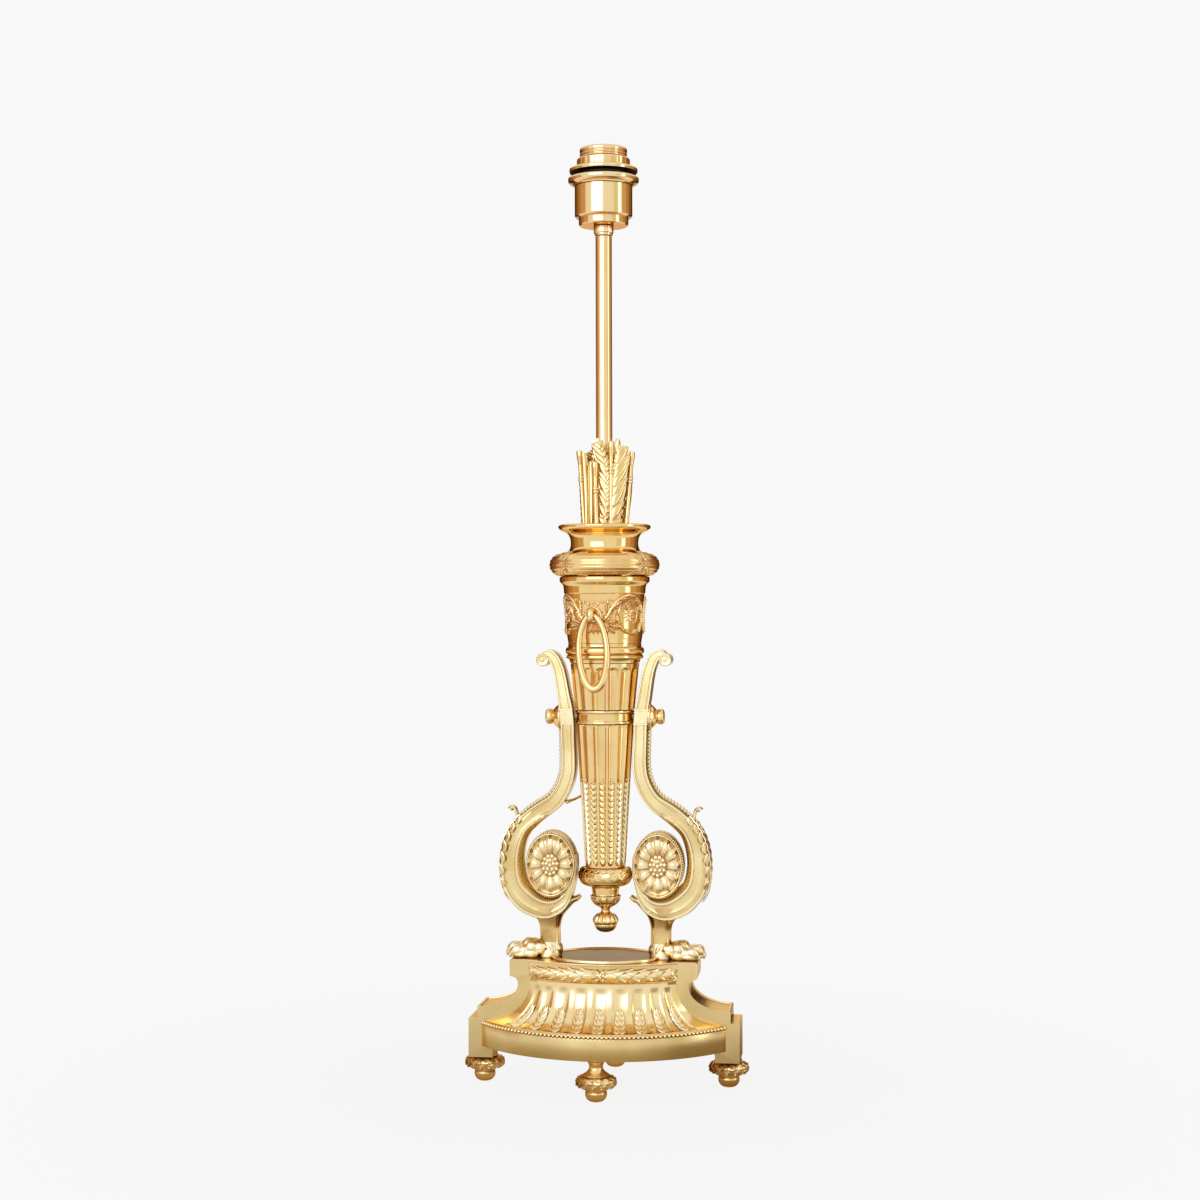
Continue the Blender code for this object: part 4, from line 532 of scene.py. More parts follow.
def piece(name, bm, finish, replaced=(), body=LAMP, sharp=38, bevel=0.0, weld=True):
    """A finished piece: closed, pointing outwards, smooth but for its arrises, riding on its body."""
    if weld:
        bmesh.ops.remove_doubles(bm, verts=bm.verts, dist=WELD * MM)
    bmesh.ops.recalc_face_normals(bm, faces=bm.faces)
    obj = put_mesh(name, bm)
    obj.data.shade_smooth()
    obj.data.set_sharp_from_angle(angle=radians(sharp))
    for one in finish if isinstance(finish, tuple) else (finish,):
        obj.data.materials.append(one)
    if bevel:
        ease = obj.modifiers.new("eased_arrises", "BEVEL")
        ease.width = bevel * MM
        ease.segments = 2
        ease.limit_method = "ANGLE"
        ease.angle_limit = radians(35)
        ease.harden_normals = False
    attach(obj, body)
    if replaced:
        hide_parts(*replaced)


def round_lamp(turn, reach, z):
    """A point at an angle from the lamp's front, positive to its right, in millimetres."""
    return Vector((reach * MM * sin(turn), -reach * MM * cos(turn), z * MM))


def outward(turn, lift=0.0):
    """The direction at an angle from the lamp's front, raised by another angle."""
    return Vector((sin(turn) * cos(lift), -cos(turn) * cos(lift), sin(lift)))


def sideways(turn):
    return Vector((cos(turn), sin(turn), 0))


def raised(level, lift):
    """A level direction raised by an angle."""
    return level * cos(lift) + Vector((0, 0, sin(lift)))


def round_turns(count, offset=0.0):
    """Angles spaced evenly round a circle, the first moved on by a share of their spacing."""
    return [2 * pi * (number + offset) / count for number in range(count)]


def on_torus(turn, lift, reach, radius, z):
    """A point on a torus about the lamp's axis, in millimetres."""
    flat = reach + radius * cos(lift)
    return Vector((flat * sin(turn), -flat * cos(turn), z + radius * sin(lift)))


def draw_in(vert, share):
    """Move a vertex toward the lamp's axis by a share of its distance."""
    vert.co.x *= 1 - share
    vert.co.y *= 1 - share


def wrapped(bm, radius_at, turn=0.0):
    """Lay flat relief, of width, standing height and height above the floor, round a drum."""
    for vert in bm.verts:
        across, out, z = vert.co
        radius = radius_at(z / MM) * MM
        bearing = turn + across / radius
        vert.co = ((radius + out) * sin(bearing), -(radius + out) * cos(bearing), z)
    return bm


def rib(points, widths, heights, sides=6):
    """Flat relief of half-round section along a line of (across, height) points in millimetres."""
    rings = []
    for i, (x, z) in enumerate(points):
        before = Vector(points[max(i - 1, 0)])
        after = Vector(points[min(i + 1, len(points) - 1)])
        along = (after - before).normalized()
        normal = Vector((-along.y, along.x))
        ring = []
        for step in range(sides + 1):
            turn = pi * step / sides
            side = cos(turn) * widths[i] / 2
            ring.append(Vector(((x + normal.x * side) * MM, sin(turn) * heights[i] * MM, (z + normal.y * side) * MM)))
        ring.append(Vector((x * MM, -0.5 * MM, z * MM)))
        rings.append(ring)
    return skinned(rings)


def blade(length, width, thick, lobes=0, cut=0.3, dome=0.2, curl=0.0, vein=0.12, across=6, along=12, fullness=0.75):
    """A leaf that grows along +Z from its foot at the origin and faces -Y, in millimetres."""
    bm = bmesh.new()
    bmesh.ops.create_grid(bm, x_segments=across, y_segments=along, size=0.5)
    for vert in bm.verts:
        side = 2 * vert.co.x
        rise = vert.co.y + 0.5
        half = width / 2 * max(sin(pi * (0.06 + 0.94 * rise)), 0.02) ** fullness
        if lobes:
            half *= 1 - cut * abs(side) * (1 - abs(sin(pi * lobes * rise)))
        out = dome * width * (1 - side * side) - vein * width * exp(-((side / 0.16) ** 2)) + curl * length * rise**2
        vert.co = Vector((side * half, -out, length * rise)) * MM
    bmesh.ops.recalc_face_normals(bm, faces=bm.faces)
    bmesh.ops.solidify(bm, geom=bm.faces[:], thickness=thick * MM)
    return bm


def facing(place, up, out):
    """The matrix that puts a leaf at a place, growing along up and facing out."""
    up = Vector(up).normalized()
    back = -Vector(out)
    back = (back - up * back.dot(up)).normalized()
    side = back.cross(up)
    turn = Matrix((side, back, up)).transposed().to_4x4()
    return Matrix.Translation(place) @ turn


def shift(x, y, z):
    """The matrix of a move in millimetres."""
    return Matrix.Translation(Vector((x, y, z)) * MM)


def stretch(bm, scales):
    bmesh.ops.scale(bm, vec=scales, verts=bm.verts)


def swing_round(bm, turn, axis):
    bmesh.ops.rotate(bm, matrix=Matrix.Rotation(turn, 3, axis), verts=bm.verts)


def give_second_finish(bm, belongs):
    """Let the faces that belong to it take the piece's second finish."""
    for face in bm.faces:
        if belongs(face):
            face.material_index = 1


def lowest(face):
    return min(vert.co.z for vert in face.verts) / MM


def radii_along(line, rule):
    """A radius for each point of a line, by its share of the way."""
    return [rule(i / (len(line) - 1)) for i in range(len(line))]


def ball(radius, detail=2):
    bm = bmesh.new()
    bmesh.ops.create_icosphere(bm, subdivisions=detail, radius=radius * MM)
    return bm


def tube(points, radii, sides=10, joined=False):
    """A round rod along points in millimetres, with its own radius at each."""
    points = [Vector(point) for point in points]
    count = len(points)
    rings = []
    side = None
    for i, point in enumerate(points):
        before = points[i - 1] if i or joined else point
        after = points[(i + 1) % count] if i < count - 1 or joined else point
        along = (after - before).normalized()
        if side is None:
            side = along.orthogonal().normalized()
        side = (side - along * side.dot(along)).normalized()
        third = along.cross(side)
        radius = radii[i] if isinstance(radii, (list, tuple)) else radii
        rings.append([
            (point + (side * cos(turn) + third * sin(turn)) * radius) * MM for turn in round_turns(sides)
        ])
    return skinned(rings, joined)


def keep(slot_finish, *names):
    """A CAD node whose shape stays gets its finish here."""
    for name in names:
        obj = nodes[name]
        if not obj.material_slots:
            obj.data.materials.append(slot_finish)
        for held in obj.material_slots:
            held.material = slot_finish


# ---------------------------------------------------------------- lampholder
KNURL = 0.012
KNURLS = 24
SHELL_PITCH = 3.6
SKIRT_PITCH = 2.3


def shade_between(bm, foot, top):
    """Painted shade, the piece's dark second finish, on the faces that lie between two heights."""
    give_second_finish(bm, lambda face: foot < face.calc_center_median().z / MM < top)


def make_lampholder():
    collar = [
        (7.0, 720.6), (8.0, 720.6), (8.4, 720.2), (8.4, 715.2), (8.0, 714.8), (7.7, 714.6), (7.7, 713.2),
        (7.4, 712.6), (5.4, 712.4), (5.4, 720.6),
    ]
    piece("lampholder_collar", turned(collar, 64), BRASS, ["holder_collar"], bevel=0.15)
    cup = [
        (24.0, 754.0), (24.4, 753.7), (24.4, 729.6), (24.1, 728.6), (23.2, 727.8), (21.8, 727.5), (21.2, 727.1),
        (21.0, 726.4), (21.0, 722.6), (20.7, 721.5), (19.8, 720.9), (6.0, 720.9), (6.0, 722.2), (19.6, 722.2),
        (19.8, 728.6), (23.0, 729.8), (23.0, 754.0),
    ]
    piece("lampholder_cup", turned(cup, 128), BRASS, ["holder_cup"], sharp=30)
    lower = [
        (20.5, 762.0), (21.6, 761.2), (29.0, 761.2), (29.6, 760.9), (29.9, 760.3), (29.9, 758.6), (29.5, 757.4),
        (28.6, 756.6), (27.0, 755.9), (25.8, 755.3), (25.2, 754.3), (20.5, 754.3),
    ]
    bm = turned(lower, 128)
    shade_between(bm, 760.6, 762.5)
    piece("lower_shade_ring", bm, (BRASS, GAP_SHADE), ["shade_ring_lower"], "lower_ring", sharp=30)
    upper = [
        (20.5, 777.2), (21.7, 777.2), (22.3, 776.9), (22.5, 776.3), (22.5, 770.0), (22.8, 769.4), (23.6, 769.1),
        (27.9, 769.0), (28.6, 768.7), (28.8, 768.2), (28.8, 766.4), (28.5, 765.8), (27.8, 765.5), (21.6, 765.5),
        (20.5, 765.0),
    ]
    bm = turned(upper, 144)
    for vert in bm.verts:
        if 22.2 < hypot(vert.co.x, vert.co.y) / MM < 22.6:
            draw_in(vert, KNURL * (0.5 + 0.5 * cos(KNURLS * atan2(vert.co.y, vert.co.x))))
    shade_between(bm, 764.5, 766.0)
    piece("upper_shade_ring", bm, (BRASS, GAP_SHADE), ["shade_ring_upper"], "upper_ring", sharp=30)
    skirt = [(18.3, 785.2), (18.7, 785.8), (19.3, 786.0), (19.8, 785.7), (20.1, 785.0), (20.1, 783.2), (19.7, 782.5)]
    z = 782.2
    while z > 750:
        skirt += [(19.25, z), (19.25, z - 0.5), (19.7, z - 0.8), (20.05, z - 1.2), (20.05, z - 1.6), (19.7, z - 2.0)]
        z -= SKIRT_PITCH
    skirt += [(19.25, 749.0), (19.25, 747.3), (18.9, 747.0), (18.3, 747.0)]
    bm = turned(skirt, 96)
    shade_between(bm, 740.0, 768.0)
    piece("threaded_skirt", bm, (BRASS, GAP_SHADE), ["holder_skirt"], sharp=50)
    foot, top = (corner.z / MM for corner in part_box("screw_shell"))
    outer = [(14.3, top)]
    z = top - 0.6
    while z > foot + 3:
        outer += [(14.2, z), (13.9, z - 1.0), (13.5, z - 1.8), (13.9, z - 2.6)]
        z -= SHELL_PITCH
    outer.append((14.0, foot))
    inner = [(r - 0.7, z) for r, z in outer[::-1]]
    piece("threaded_shell", turned(outer + inner, 72), BRASS, ["screw_shell"], sharp=60)


def make_rod():
    foot, top = (corner.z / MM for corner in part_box("rod_sleeve"))
    outline = [(6.7, top), (6.9, top - 0.3), (6.9, foot), (5.4, foot), (5.4, top)]
    piece("plain_rod", turned(outline, 64), BRASS, ["rod_sleeve"])


# ---------------------------------------------------------------- quiver
FLUTES = 16
DRUM_WALL = 4.6
LOWER_TOP_RADIUS = 24.2
LOWER_FOOT_RADIUS = 16.7
SPRIGS = 14
HANDLE_TURN = radians(-9.5)
HANDLE_REACH = 38.08
HANDLE_Z = 393.0


def flute_depth(away, end_gap, half, end=None):
    """How deep a flute is at a distance from its middle and from its end, both in millimetres."""
    end = end or half
    share = 1 - (away / half) ** 2
    if end_gap < end:
        share -= ((end - end_gap) / end) ** 2
    return sqrt(share) if share > 0 else 0.0


def fluted_drum(top, foot, top_radius, foot_radius, flute_top, flute_foot, depth, share):
    """A tapered drum with upright flutes, each as wide as a share of their spacing on both sides of its middle."""
    levels = [top]
    while levels[-1] > foot:
        z = levels[-1]
        near_end = min(abs(z - flute_top + 1.5), abs(z - flute_foot - 1.5)) < 4.5
        levels.append(max(z - (0.45 if near_end else 3.0), foot))
    slope = (top_radius - foot_radius) / (top - foot)
    outline = [(foot_radius + slope * (z - foot), z) for z in levels]
    outline += [(foot_radius - DRUM_WALL, foot), (top_radius - DRUM_WALL, top)]
    bm = turned(outline, FLUTES * 14)
    for vert in bm.verts:
        radius, z = hypot(vert.co.x, vert.co.y) / MM, vert.co.z / MM
        rim = foot_radius + slope * (z - foot)
        gap = min(flute_top - z, z - flute_foot)
        if radius < rim - DRUM_WALL / 2 or gap <= 0:
            continue
        pitch = 2 * pi * rim / FLUTES
        place = atan2(vert.co.x, -vert.co.y) * FLUTES / (2 * pi)
        draw_in(vert, depth * flute_depth(abs(place - round(place)) * pitch, gap, share * pitch) / radius)
    return bm


def lower_radius(z):
    return LOWER_FOOT_RADIUS + (LOWER_TOP_RADIUS - LOWER_FOOT_RADIUS) * (z - 182) / 120


def make_sprig(length, width, middle=0.0, across=2, along=4, dome=0.35):
    """A pair of leaves, with a third between them if middle is its length, growing along +Z and facing -Y."""
    whole = bmesh.new()
    leaf = as_mesh(blade(length, width, 0.4, dome=dome, curl=0.04, vein=0.0, across=across, along=along, fullness=0.8))
    for side in (-1, 1):
        lean = Matrix.Rotation(radians(23 * side), 4, "Y")
        stamp(whole, leaf, Matrix.Translation((side * 0.12 * width * MM, 0, 0)) @ lean)
    if middle:
        lift = Matrix.Translation((0, -0.35 * MM, 0))
        stamp(whole, leaf, lift @ Matrix.Diagonal((1, 1, middle / length, 1)))
    bpy.data.meshes.remove(leaf)
    return as_mesh(whole)


def make_drums():
    bm = fluted_drum(
        top=352.7, foot=314.3, top_radius=29.0, foot_radius=25.0, flute_top=349.6, flute_foot=309.0, depth=2.0,
        share=0.37,
    )
    piece("upper_fluted_quiver", bm, POLISHED, ["upper_fluted_drum"], sharp=28)
    bm = fluted_drum(
        top=301.7, foot=182.2, top_radius=LOWER_TOP_RADIUS, foot_radius=LOWER_FOOT_RADIUS, flute_top=303.4,
        flute_foot=184.0, depth=1.8, share=0.38,
    )
    piece("lower_fluted_quiver", bm, POLISHED, ["lower_fluted_drum"], sharp=28)
    whole = bmesh.new()
    sprig = make_sprig(6.0, 2.7)
    bud = as_mesh(ball(1.0, 1))
    for turn in round_turns(FLUTES):
        upright = Matrix.Rotation(turn, 4, "Z") @ Matrix.Rotation(radians(-3.6), 4, "X")
        for number in range(SPRIGS):
            z = 186.0 + 4.8 * number
            size = (1.12 - 0.34 * number / (SPRIGS - 1)) * lower_radius(z) / 19
            spot = Matrix.Translation(round_lamp(turn, lower_radius(z + 2.6) - 1.3, z))
            stamp(whole, sprig, spot @ upright @ Matrix.Scale(size, 4))
        stamp(whole, bud, Matrix.Translation(round_lamp(turn, lower_radius(255) - 1.0, 255.4)))
    piece("husk_strings", whole, BOW_GOLD, sharp=60)


def make_pivot_band():
    knots = [
        (24.0, 313.7), (24.6, 313.5), (24.8, 313.0), (24.8, 312.0), (24.5, 311.5), (23.9, 311.2), (23.7, 310.6),
        (23.7, 305.4), (23.9, 304.8), (24.5, 304.5), (24.8, 304.0), (24.8, 303.0), (24.6, 302.5), (24.0, 302.3),
        (20.4, 302.3), (20.4, 313.7),
    ]
    piece("pivot_ring", turned(knots, 96), BRIGHT, ["pivot_band"], sharp=60)


def make_collar():
    knots = eased([
        (30.9, 369.7), (30.8, 368.2), (31.2, 366.8), (32.4, 365.8), (33.1, 364.2), (33.1, 362.4), (32.5, 361.0),
        (31.4, 360.5),
    ], 4) + eased([
        (31.2, 360.1), (32.1, 359.5), (32.5, 358.4), (32.3, 357.3), (31.4, 356.7), (30.5, 356.4), (30.0, 355.6),
        (29.6, 354.6), (29.2, 353.3),
    ], 4)
    outline = knots + [(24.4, 353.3), (26.4, 369.7)]
    piece("double_moulding", turned(outline, 112), BRIGHT, ["collar_moulding"], sharp=50)


FRIEZE_RUN = (
    (36.4, 425.6), (37.6, 425.2), (38.0, 424.0), (38.0, 422.2), (37.5, 420.6), (36.2, 419.4), (35.2, 418.2),
    (34.7, 416.4), (34.5, 413.4), (34.3, 411.6), (33.5, 410.8), (32.9, 402.0), (32.4, 392.0), (32.1, 383.0),
    (31.9, 378.0), (31.6, 374.4), (31.0, 371.8), (31.0, 370.0),
)


def frieze_radius(z):
    for (upper, top), (lower, foot) in zip(FRIEZE_RUN, FRIEZE_RUN[1:]):
        if foot <= z <= top:
            return lower + (upper - lower) * (z - foot) / (top - foot)
    return FRIEZE_RUN[0][0] if z > FRIEZE_RUN[0][1] else FRIEZE_RUN[-1][0]


def make_frieze():
    ring = eased(FRIEZE_RUN[:11], 4) + list(FRIEZE_RUN[11:])
    outline = ring + [(26.4, 370.0), (26.4, 425.6)]
    piece("frieze_wall", turned(outline, 128), BRIGHT, ["frieze_drum"], sharp=50)


def flat_leaf(relief, leaf, across, z, lean, size):
    """A leaf laid on the flat before the relief is wrapped round the drum, leaning by degrees from upright."""
    place = shift(across, 0, z) @ Matrix.Rotation(radians(lean), 4, "Y")
    stamp(relief, leaf, place @ Matrix.Diagonal((size, -size, size, 1)))


# The tendril beside the handle: across and height, and its width and standing height
TENDRIL = (
    (7.0, 386.0, 1.6, 1.0), (11.0, 392.0, 2.8, 1.6), (16.0, 399.6, 3.4, 1.9), (22.0, 406.4, 3.2, 1.8),
    (30.0, 409.6, 2.8, 1.7), (39.0, 408.0, 2.6, 1.6), (46.0, 402.0, 2.5, 1.5), (48.6, 393.4, 2.4, 1.5),
    (46.0, 384.6, 2.4, 1.4), (39.0, 379.4, 2.4, 1.4), (30.0, 378.8, 2.3, 1.4), (23.0, 383.0, 2.2, 1.3),
    (20.4, 390.6, 2.1, 1.3), (23.0, 398.2, 2.0, 1.2), (29.6, 402.4, 1.9, 1.1), (36.6, 400.8, 1.8, 1.1),
    (40.4, 394.6, 1.6, 1.0), (38.6, 388.0, 1.5, 1.0), (33.6, 386.4, 1.3, 0.9),
)
TENDRIL_LEAVES = (
    (8.0, 387.0, 40, 1.4), (12.0, 395.0, 0, 1.0), (15.0, 398.0, 58, 1.3), (20.0, 405.0, 84, 1.2),
    (28.0, 409.5, 104, 1.1), (38.0, 408.5, 128, 1.1), (45.0, 403.5, 160, 1.0), (48.4, 395.0, 190, 1.0),
    (47.0, 386.5, 216, 1.0), (41.0, 380.5, 250, 1.0), (33.0, 378.6, 282, 1.0), (25.4, 380.8, 316, 0.9),
    (21.0, 387.0, 350, 0.9), (20.8, 394.0, 20, 0.9), (25.0, 400.4, 62, 0.9), (32.0, 402.6, 100, 0.8),
    (38.6, 398.8, 142, 0.8), (24.0, 404.0, 140, 0.9), (17.0, 401.0, 108, 0.8), (44.0, 400.0, 230, 0.7),
    (11.5, 386.0, 76, 1.0), (13.0, 384.0, 100, 1.1), (11.0, 383.0, 126, 0.9), (9.0, 385.0, 158, 0.8),
    (17.0, 384.0, 70, 0.8),
)


def make_frieze_relief():
    whole = bmesh.new()
    leaf = as_mesh(blade(
        9.0, 5.2, 0.5, lobes=4, cut=0.42, dome=0.34, curl=0.06, vein=0.18, across=8, along=24, fullness=0.6
    ))
    petal = as_mesh(blade(4.2, 3.0, 0.5, dome=0.26, curl=0.02, vein=0.10, across=4, along=6, fullness=0.6))
    bud = as_mesh(ball(1.2, 2))
    for turn in (HANDLE_TURN, HANDLE_TURN + pi):
        for side in (-1, 1):
            relief = bmesh.new()
            run = eased(TENDRIL, 6)
            join(relief, rib([(x, z) for x, z, _, _ in run], [w for _, _, w, _ in run], [h for _, _, _, h in run]))
            for across, z, lean, size in TENDRIL_LEAVES:
                flat_leaf(relief, leaf, across, z, lean, size)
            for number in range(7):
                swing = 2 * pi * number / 7
                flat_leaf(relief, petal, 31.0 + 1.3 * sin(swing), 393.4 + 1.3 * cos(swing), 360 * number / 7, 1.25)
            stamp(relief, bud, shift(31.0, 1.1, 393.4) @ Matrix.Scale(1.3, 4))
            stretch(relief, (side, 1, 1))
            join(whole, wrapped(relief, frieze_radius, turn))
        relief = bmesh.new()
        swag = eased([(-17.0, 406.0), (-9.0, 404.2), (0.0, 403.6), (9.0, 404.2), (17.0, 406.0)], 6)
        join(relief, rib(swag, [0.9] * len(swag), [0.7] * len(swag)))
        for number in range(9):
            across = -16 + 4 * number
            size, drop = (1.0, 1.4) if number % 2 else (0.7, 0.2)
            spot = Vector((across, 0.5, 403.8 - drop + 0.009 * across * across))
            stamp(relief, bud, shift(*spot) @ Matrix.Diagonal((size, 1.1, 1.7 * size, 1)))
        for across, lean in ((-1.2, -150), (-1.32, -165), (0, 180), (1.32, 165), (1.2, 150)):
            flat_leaf(relief, leaf, across, 387.0, lean, 1.0)
        for lean in (-66, -40, -14, 14, 40, 66):
            flat_leaf(relief, leaf, 3.2 * sin(radians(lean)), 393.5, lean, 0.62)
        join(whole, wrapped(relief, frieze_radius, turn))
    piece("frieze_relief", whole, CHASED, sharp=50, weld=False)


# Half widths across the ribbon and standing heights, as shares of its width and thickness
STRAP_SECTION = (
    (-1.0, -0.5), (-1.0, 0.8), (-0.85, 1.0), (-0.66, 0.9), (-0.58, 0.55), (0.58, 0.55), (0.66, 0.9), (0.85, 1.0),
    (1.0, 0.8), (1.0, -0.5),
)
TORUS_REACH = 36.8
TORUS_Z = 435.5


def strap(points, outs, width, thick):
    """A flat ribbon with raised edges laid along points in millimetres, each with its outward direction."""
    rings = []
    for i, (point, out) in enumerate(zip(points, outs)):
        along = (points[min(i + 1, len(points) - 1)] - points[max(i - 1, 0)]).normalized()
        across = along.cross(out).normalized()
        rings.append([(point + across * a * width / 2 + out * b * thick) * MM for a, b in STRAP_SECTION])
    return skinned(rings)


def make_torus_ribbons():
    whole = bmesh.new()
    leaf = as_mesh(blade(9.0, 5.0, 0.6, lobes=3, cut=0.3, dome=0.20, curl=0.04, across=6, along=14, fullness=0.8))
    for quarter in range(4):
        middle = radians(5.7 + 46.6 + 90 * quarter)
        for cross in (-1, 1):
            points, outs = [], []
            for step in range(29):
                lift = radians(-98 + 196 * step / 28)
                turn = middle + cross * radians(21) * (step / 14 - 1)
                points.append(on_torus(turn, lift, TORUS_REACH, 9.3, TORUS_Z))
                outs.append(outward(turn, lift))
            join(whole, strap(points, outs, 3.2, 0.7))
        for bearing, level, lean in ((0, 52, 180), (0, -52, 0), (-13, 0, 90), (13, 0, -90), (0, 0, 90), (0, 0, -90)):
            turn, lift = middle + radians(bearing), radians(level)
            out, along = outward(turn, lift), sideways(turn)
            up = out.cross(along) * cos(radians(lean)) + along * sin(radians(lean))
            spot = on_torus(turn, lift, TORUS_REACH, 9.2, TORUS_Z)
            stamp(whole, leaf, facing(spot * MM, up, out) @ Matrix.Scale(0.8, 4))
    piece("torus_ribbons", whole, CHASED, sharp=50)


def make_reeded_torus():
    outline = []
    for step in range(81):
        turn = radians(100 - 200 * step / 80)
        reed = 0.45 * abs(sin(9 * pi * step / 80))
        outline.append((36.7 + max(9.4 * cos(turn), -1.6) + reed, TORUS_Z + 9.4 * sin(turn)))
    outline += [(30.0, 426.3), (30.0, 444.7)]
    piece("reeded_ring", turned(outline, 144), CHASED, ["reeded_torus"], sharp=70)


def make_reeded_torus():
    outline = []
    for step in range(81):
        turn = radians(100 - 200 * step / 80)
        swell = 9.4 * cos(turn) * 1.0
        z = 435.5 + 9.4 * sin(turn)
        radius = 37.0 + max(swell, -1.6)
        reed = 0.45 * abs(sin(step / 80 * pi * 9))
        outline.append((radius - 0.3 + reed, z))
    outline += [(30.0, 426.3), (30.0, 444.7)]
    piece("reeded_ring", turned(outline, 144), CHASED, ["reeded_torus"], sharp=70)


def make_rim():
    lip = eased([
        (34.0, 468.2), (35.6, 469.0), (37.6, 469.0), (38.8, 468.2), (39.0, 467.0), (38.4, 465.6), (36.6, 464.2),
        (33.4, 462.9), (30.8, 461.0), (29.2, 458.2), (28.6, 455.0), (28.6, 452.0), (29.2, 449.4), (30.8, 447.2),
        (33.0, 445.8), (34.6, 445.2),
    ], 4)
    outline = lip + [(24.4, 445.2), (24.4, 449.6), (25.9, 449.7), (26.0, 462.6), (28.6, 465.4), (31.6, 467.2)]
    piece("quiver_mouth", turned(outline, 128), BRIGHT, ["quiver_rim"], sharp=60)


def make_lower_torus():
    knots = eased([
        (16.9, 181.7), (18.4, 181.0), (19.6, 179.8), (21.4, 178.0), (22.2, 175.0), (22.0, 171.8), (20.6, 168.8),
        (18.0, 166.9), (15.0, 166.0), (13.4, 165.7),
    ], 5)
    whole = turned(knots + [(5.4, 165.7), (5.4, 181.7)], 96)
    leaf = as_mesh(blade(7.2, 4.4, 0.4, dome=0.09, curl=0.015, vein=0.07, across=4, along=6, fullness=0.85))
    for row, level in enumerate((-52, -22, 10, 42)):
        lift = radians(level)
        for turn in round_turns(20, row / 2):
            spot = on_torus(turn, lift, 14.7, 7.3, 174.2)
            stamp(whole, leaf, facing(spot * MM, sideways(turn) + Vector((0, 0, 0.2)), outward(turn, lift)))
    piece("laurel_ring_core", whole, BRIGHT, ["lower_torus"], sharp=60)


def gadrooned(outline, lobes, top, foot, depth, closed=True):
    """A turned piece whose swell between two heights is cut into upright lobes."""
    bm = turned(outline, 96, closed)
    for vert in bm.verts:
        z = vert.co.z / MM
        if foot < z < top:
            groove = 1 - abs(cos(lobes * atan2(vert.co.x, -vert.co.y) / 2))
            draw_in(vert, depth * sin(pi * (z - foot) / (top - foot)) ** 0.6 * groove**1.6)
    return bm


def make_finial():
    knots = eased([
        (11.3, 165.3), (11.6, 164.2), (11.3, 161.0), (11.2, 158.6), (12.1, 157.6), (12.5, 156.0), (12.3, 154.2),
        (10.6, 151.4), (7.6, 149.2), (5.2, 148.0), (4.4, 147.2),
    ], 4)
    outline = knots + [(3.3, 147.0), (3.3, 152.4), (5.4, 152.4), (5.4, 165.3)]
    bm = gadrooned(outline, lobes=12, top=156.6, foot=148.4, depth=0.12)
    pearl = as_mesh(ball(0.85, 1))
    for turn in round_turns(34):
        stamp(bm, pearl, Matrix.Translation(round_lamp(turn, 12.2, 157.3)))
    piece("gadrooned_cup", bm, POLISHED, ["finial_cup"], sharp=60)
    knots = eased([
        (3.9, 146.6), (3.7, 144.6), (4.6, 143.4), (6.8, 142.6), (9.2, 140.8), (10.7, 138.2), (10.8, 136.0),
        (9.9, 134.6), (9.2, 134.2), (9.4, 133.6), (9.0, 131.6), (7.4, 129.2), (5.0, 127.7), (2.4, 127.1), (0.0, 127.0),
    ], 4)
    outline = [(0.0, 152.0), (3.0, 152.0), (3.0, 146.7)] + knots
    bm = gadrooned(outline, lobes=14, top=143.0, foot=134.4, depth=0.15, closed=False)
    piece("gadrooned_ball", bm, POLISHED, ["finial_ball"], sharp=60)


# ---------------------------------------------------------------- base
SLAB_TOP = 106.0
END_COVE = (104.0, 86.0)
BOW_FACE = 20.3
APRON_TOP = 51.5
COVE_TOP = 89.6
COVE_FOOT = 54.5
COVE_ROWS = 24
# The length of the bow's hollow in millimetres, and the shares of it where the flutes begin and end
COVE_RUN = 52.0
FLUTE_HEAD = 0.09
FLUTE_TAIL = 0.93
BOW_FLUTES = 9
FLUTE_COLUMNS = 16
SIDE_COLUMNS = 8
LAUREL_CHORD = 61.0
LAUREL_SAG = 16.0
LAUREL_Z = 96.5
PLATE_STRETCH = 96.0 / 73.0
# Across, depth and top of the turned feet
FEET = (
    ("left", -103.25, 0, 23.3), ("right", 103.25, 0, 23.3), ("front", 0, -64.0, 33.2), ("rear", 0, 64.0, 33.2),
)


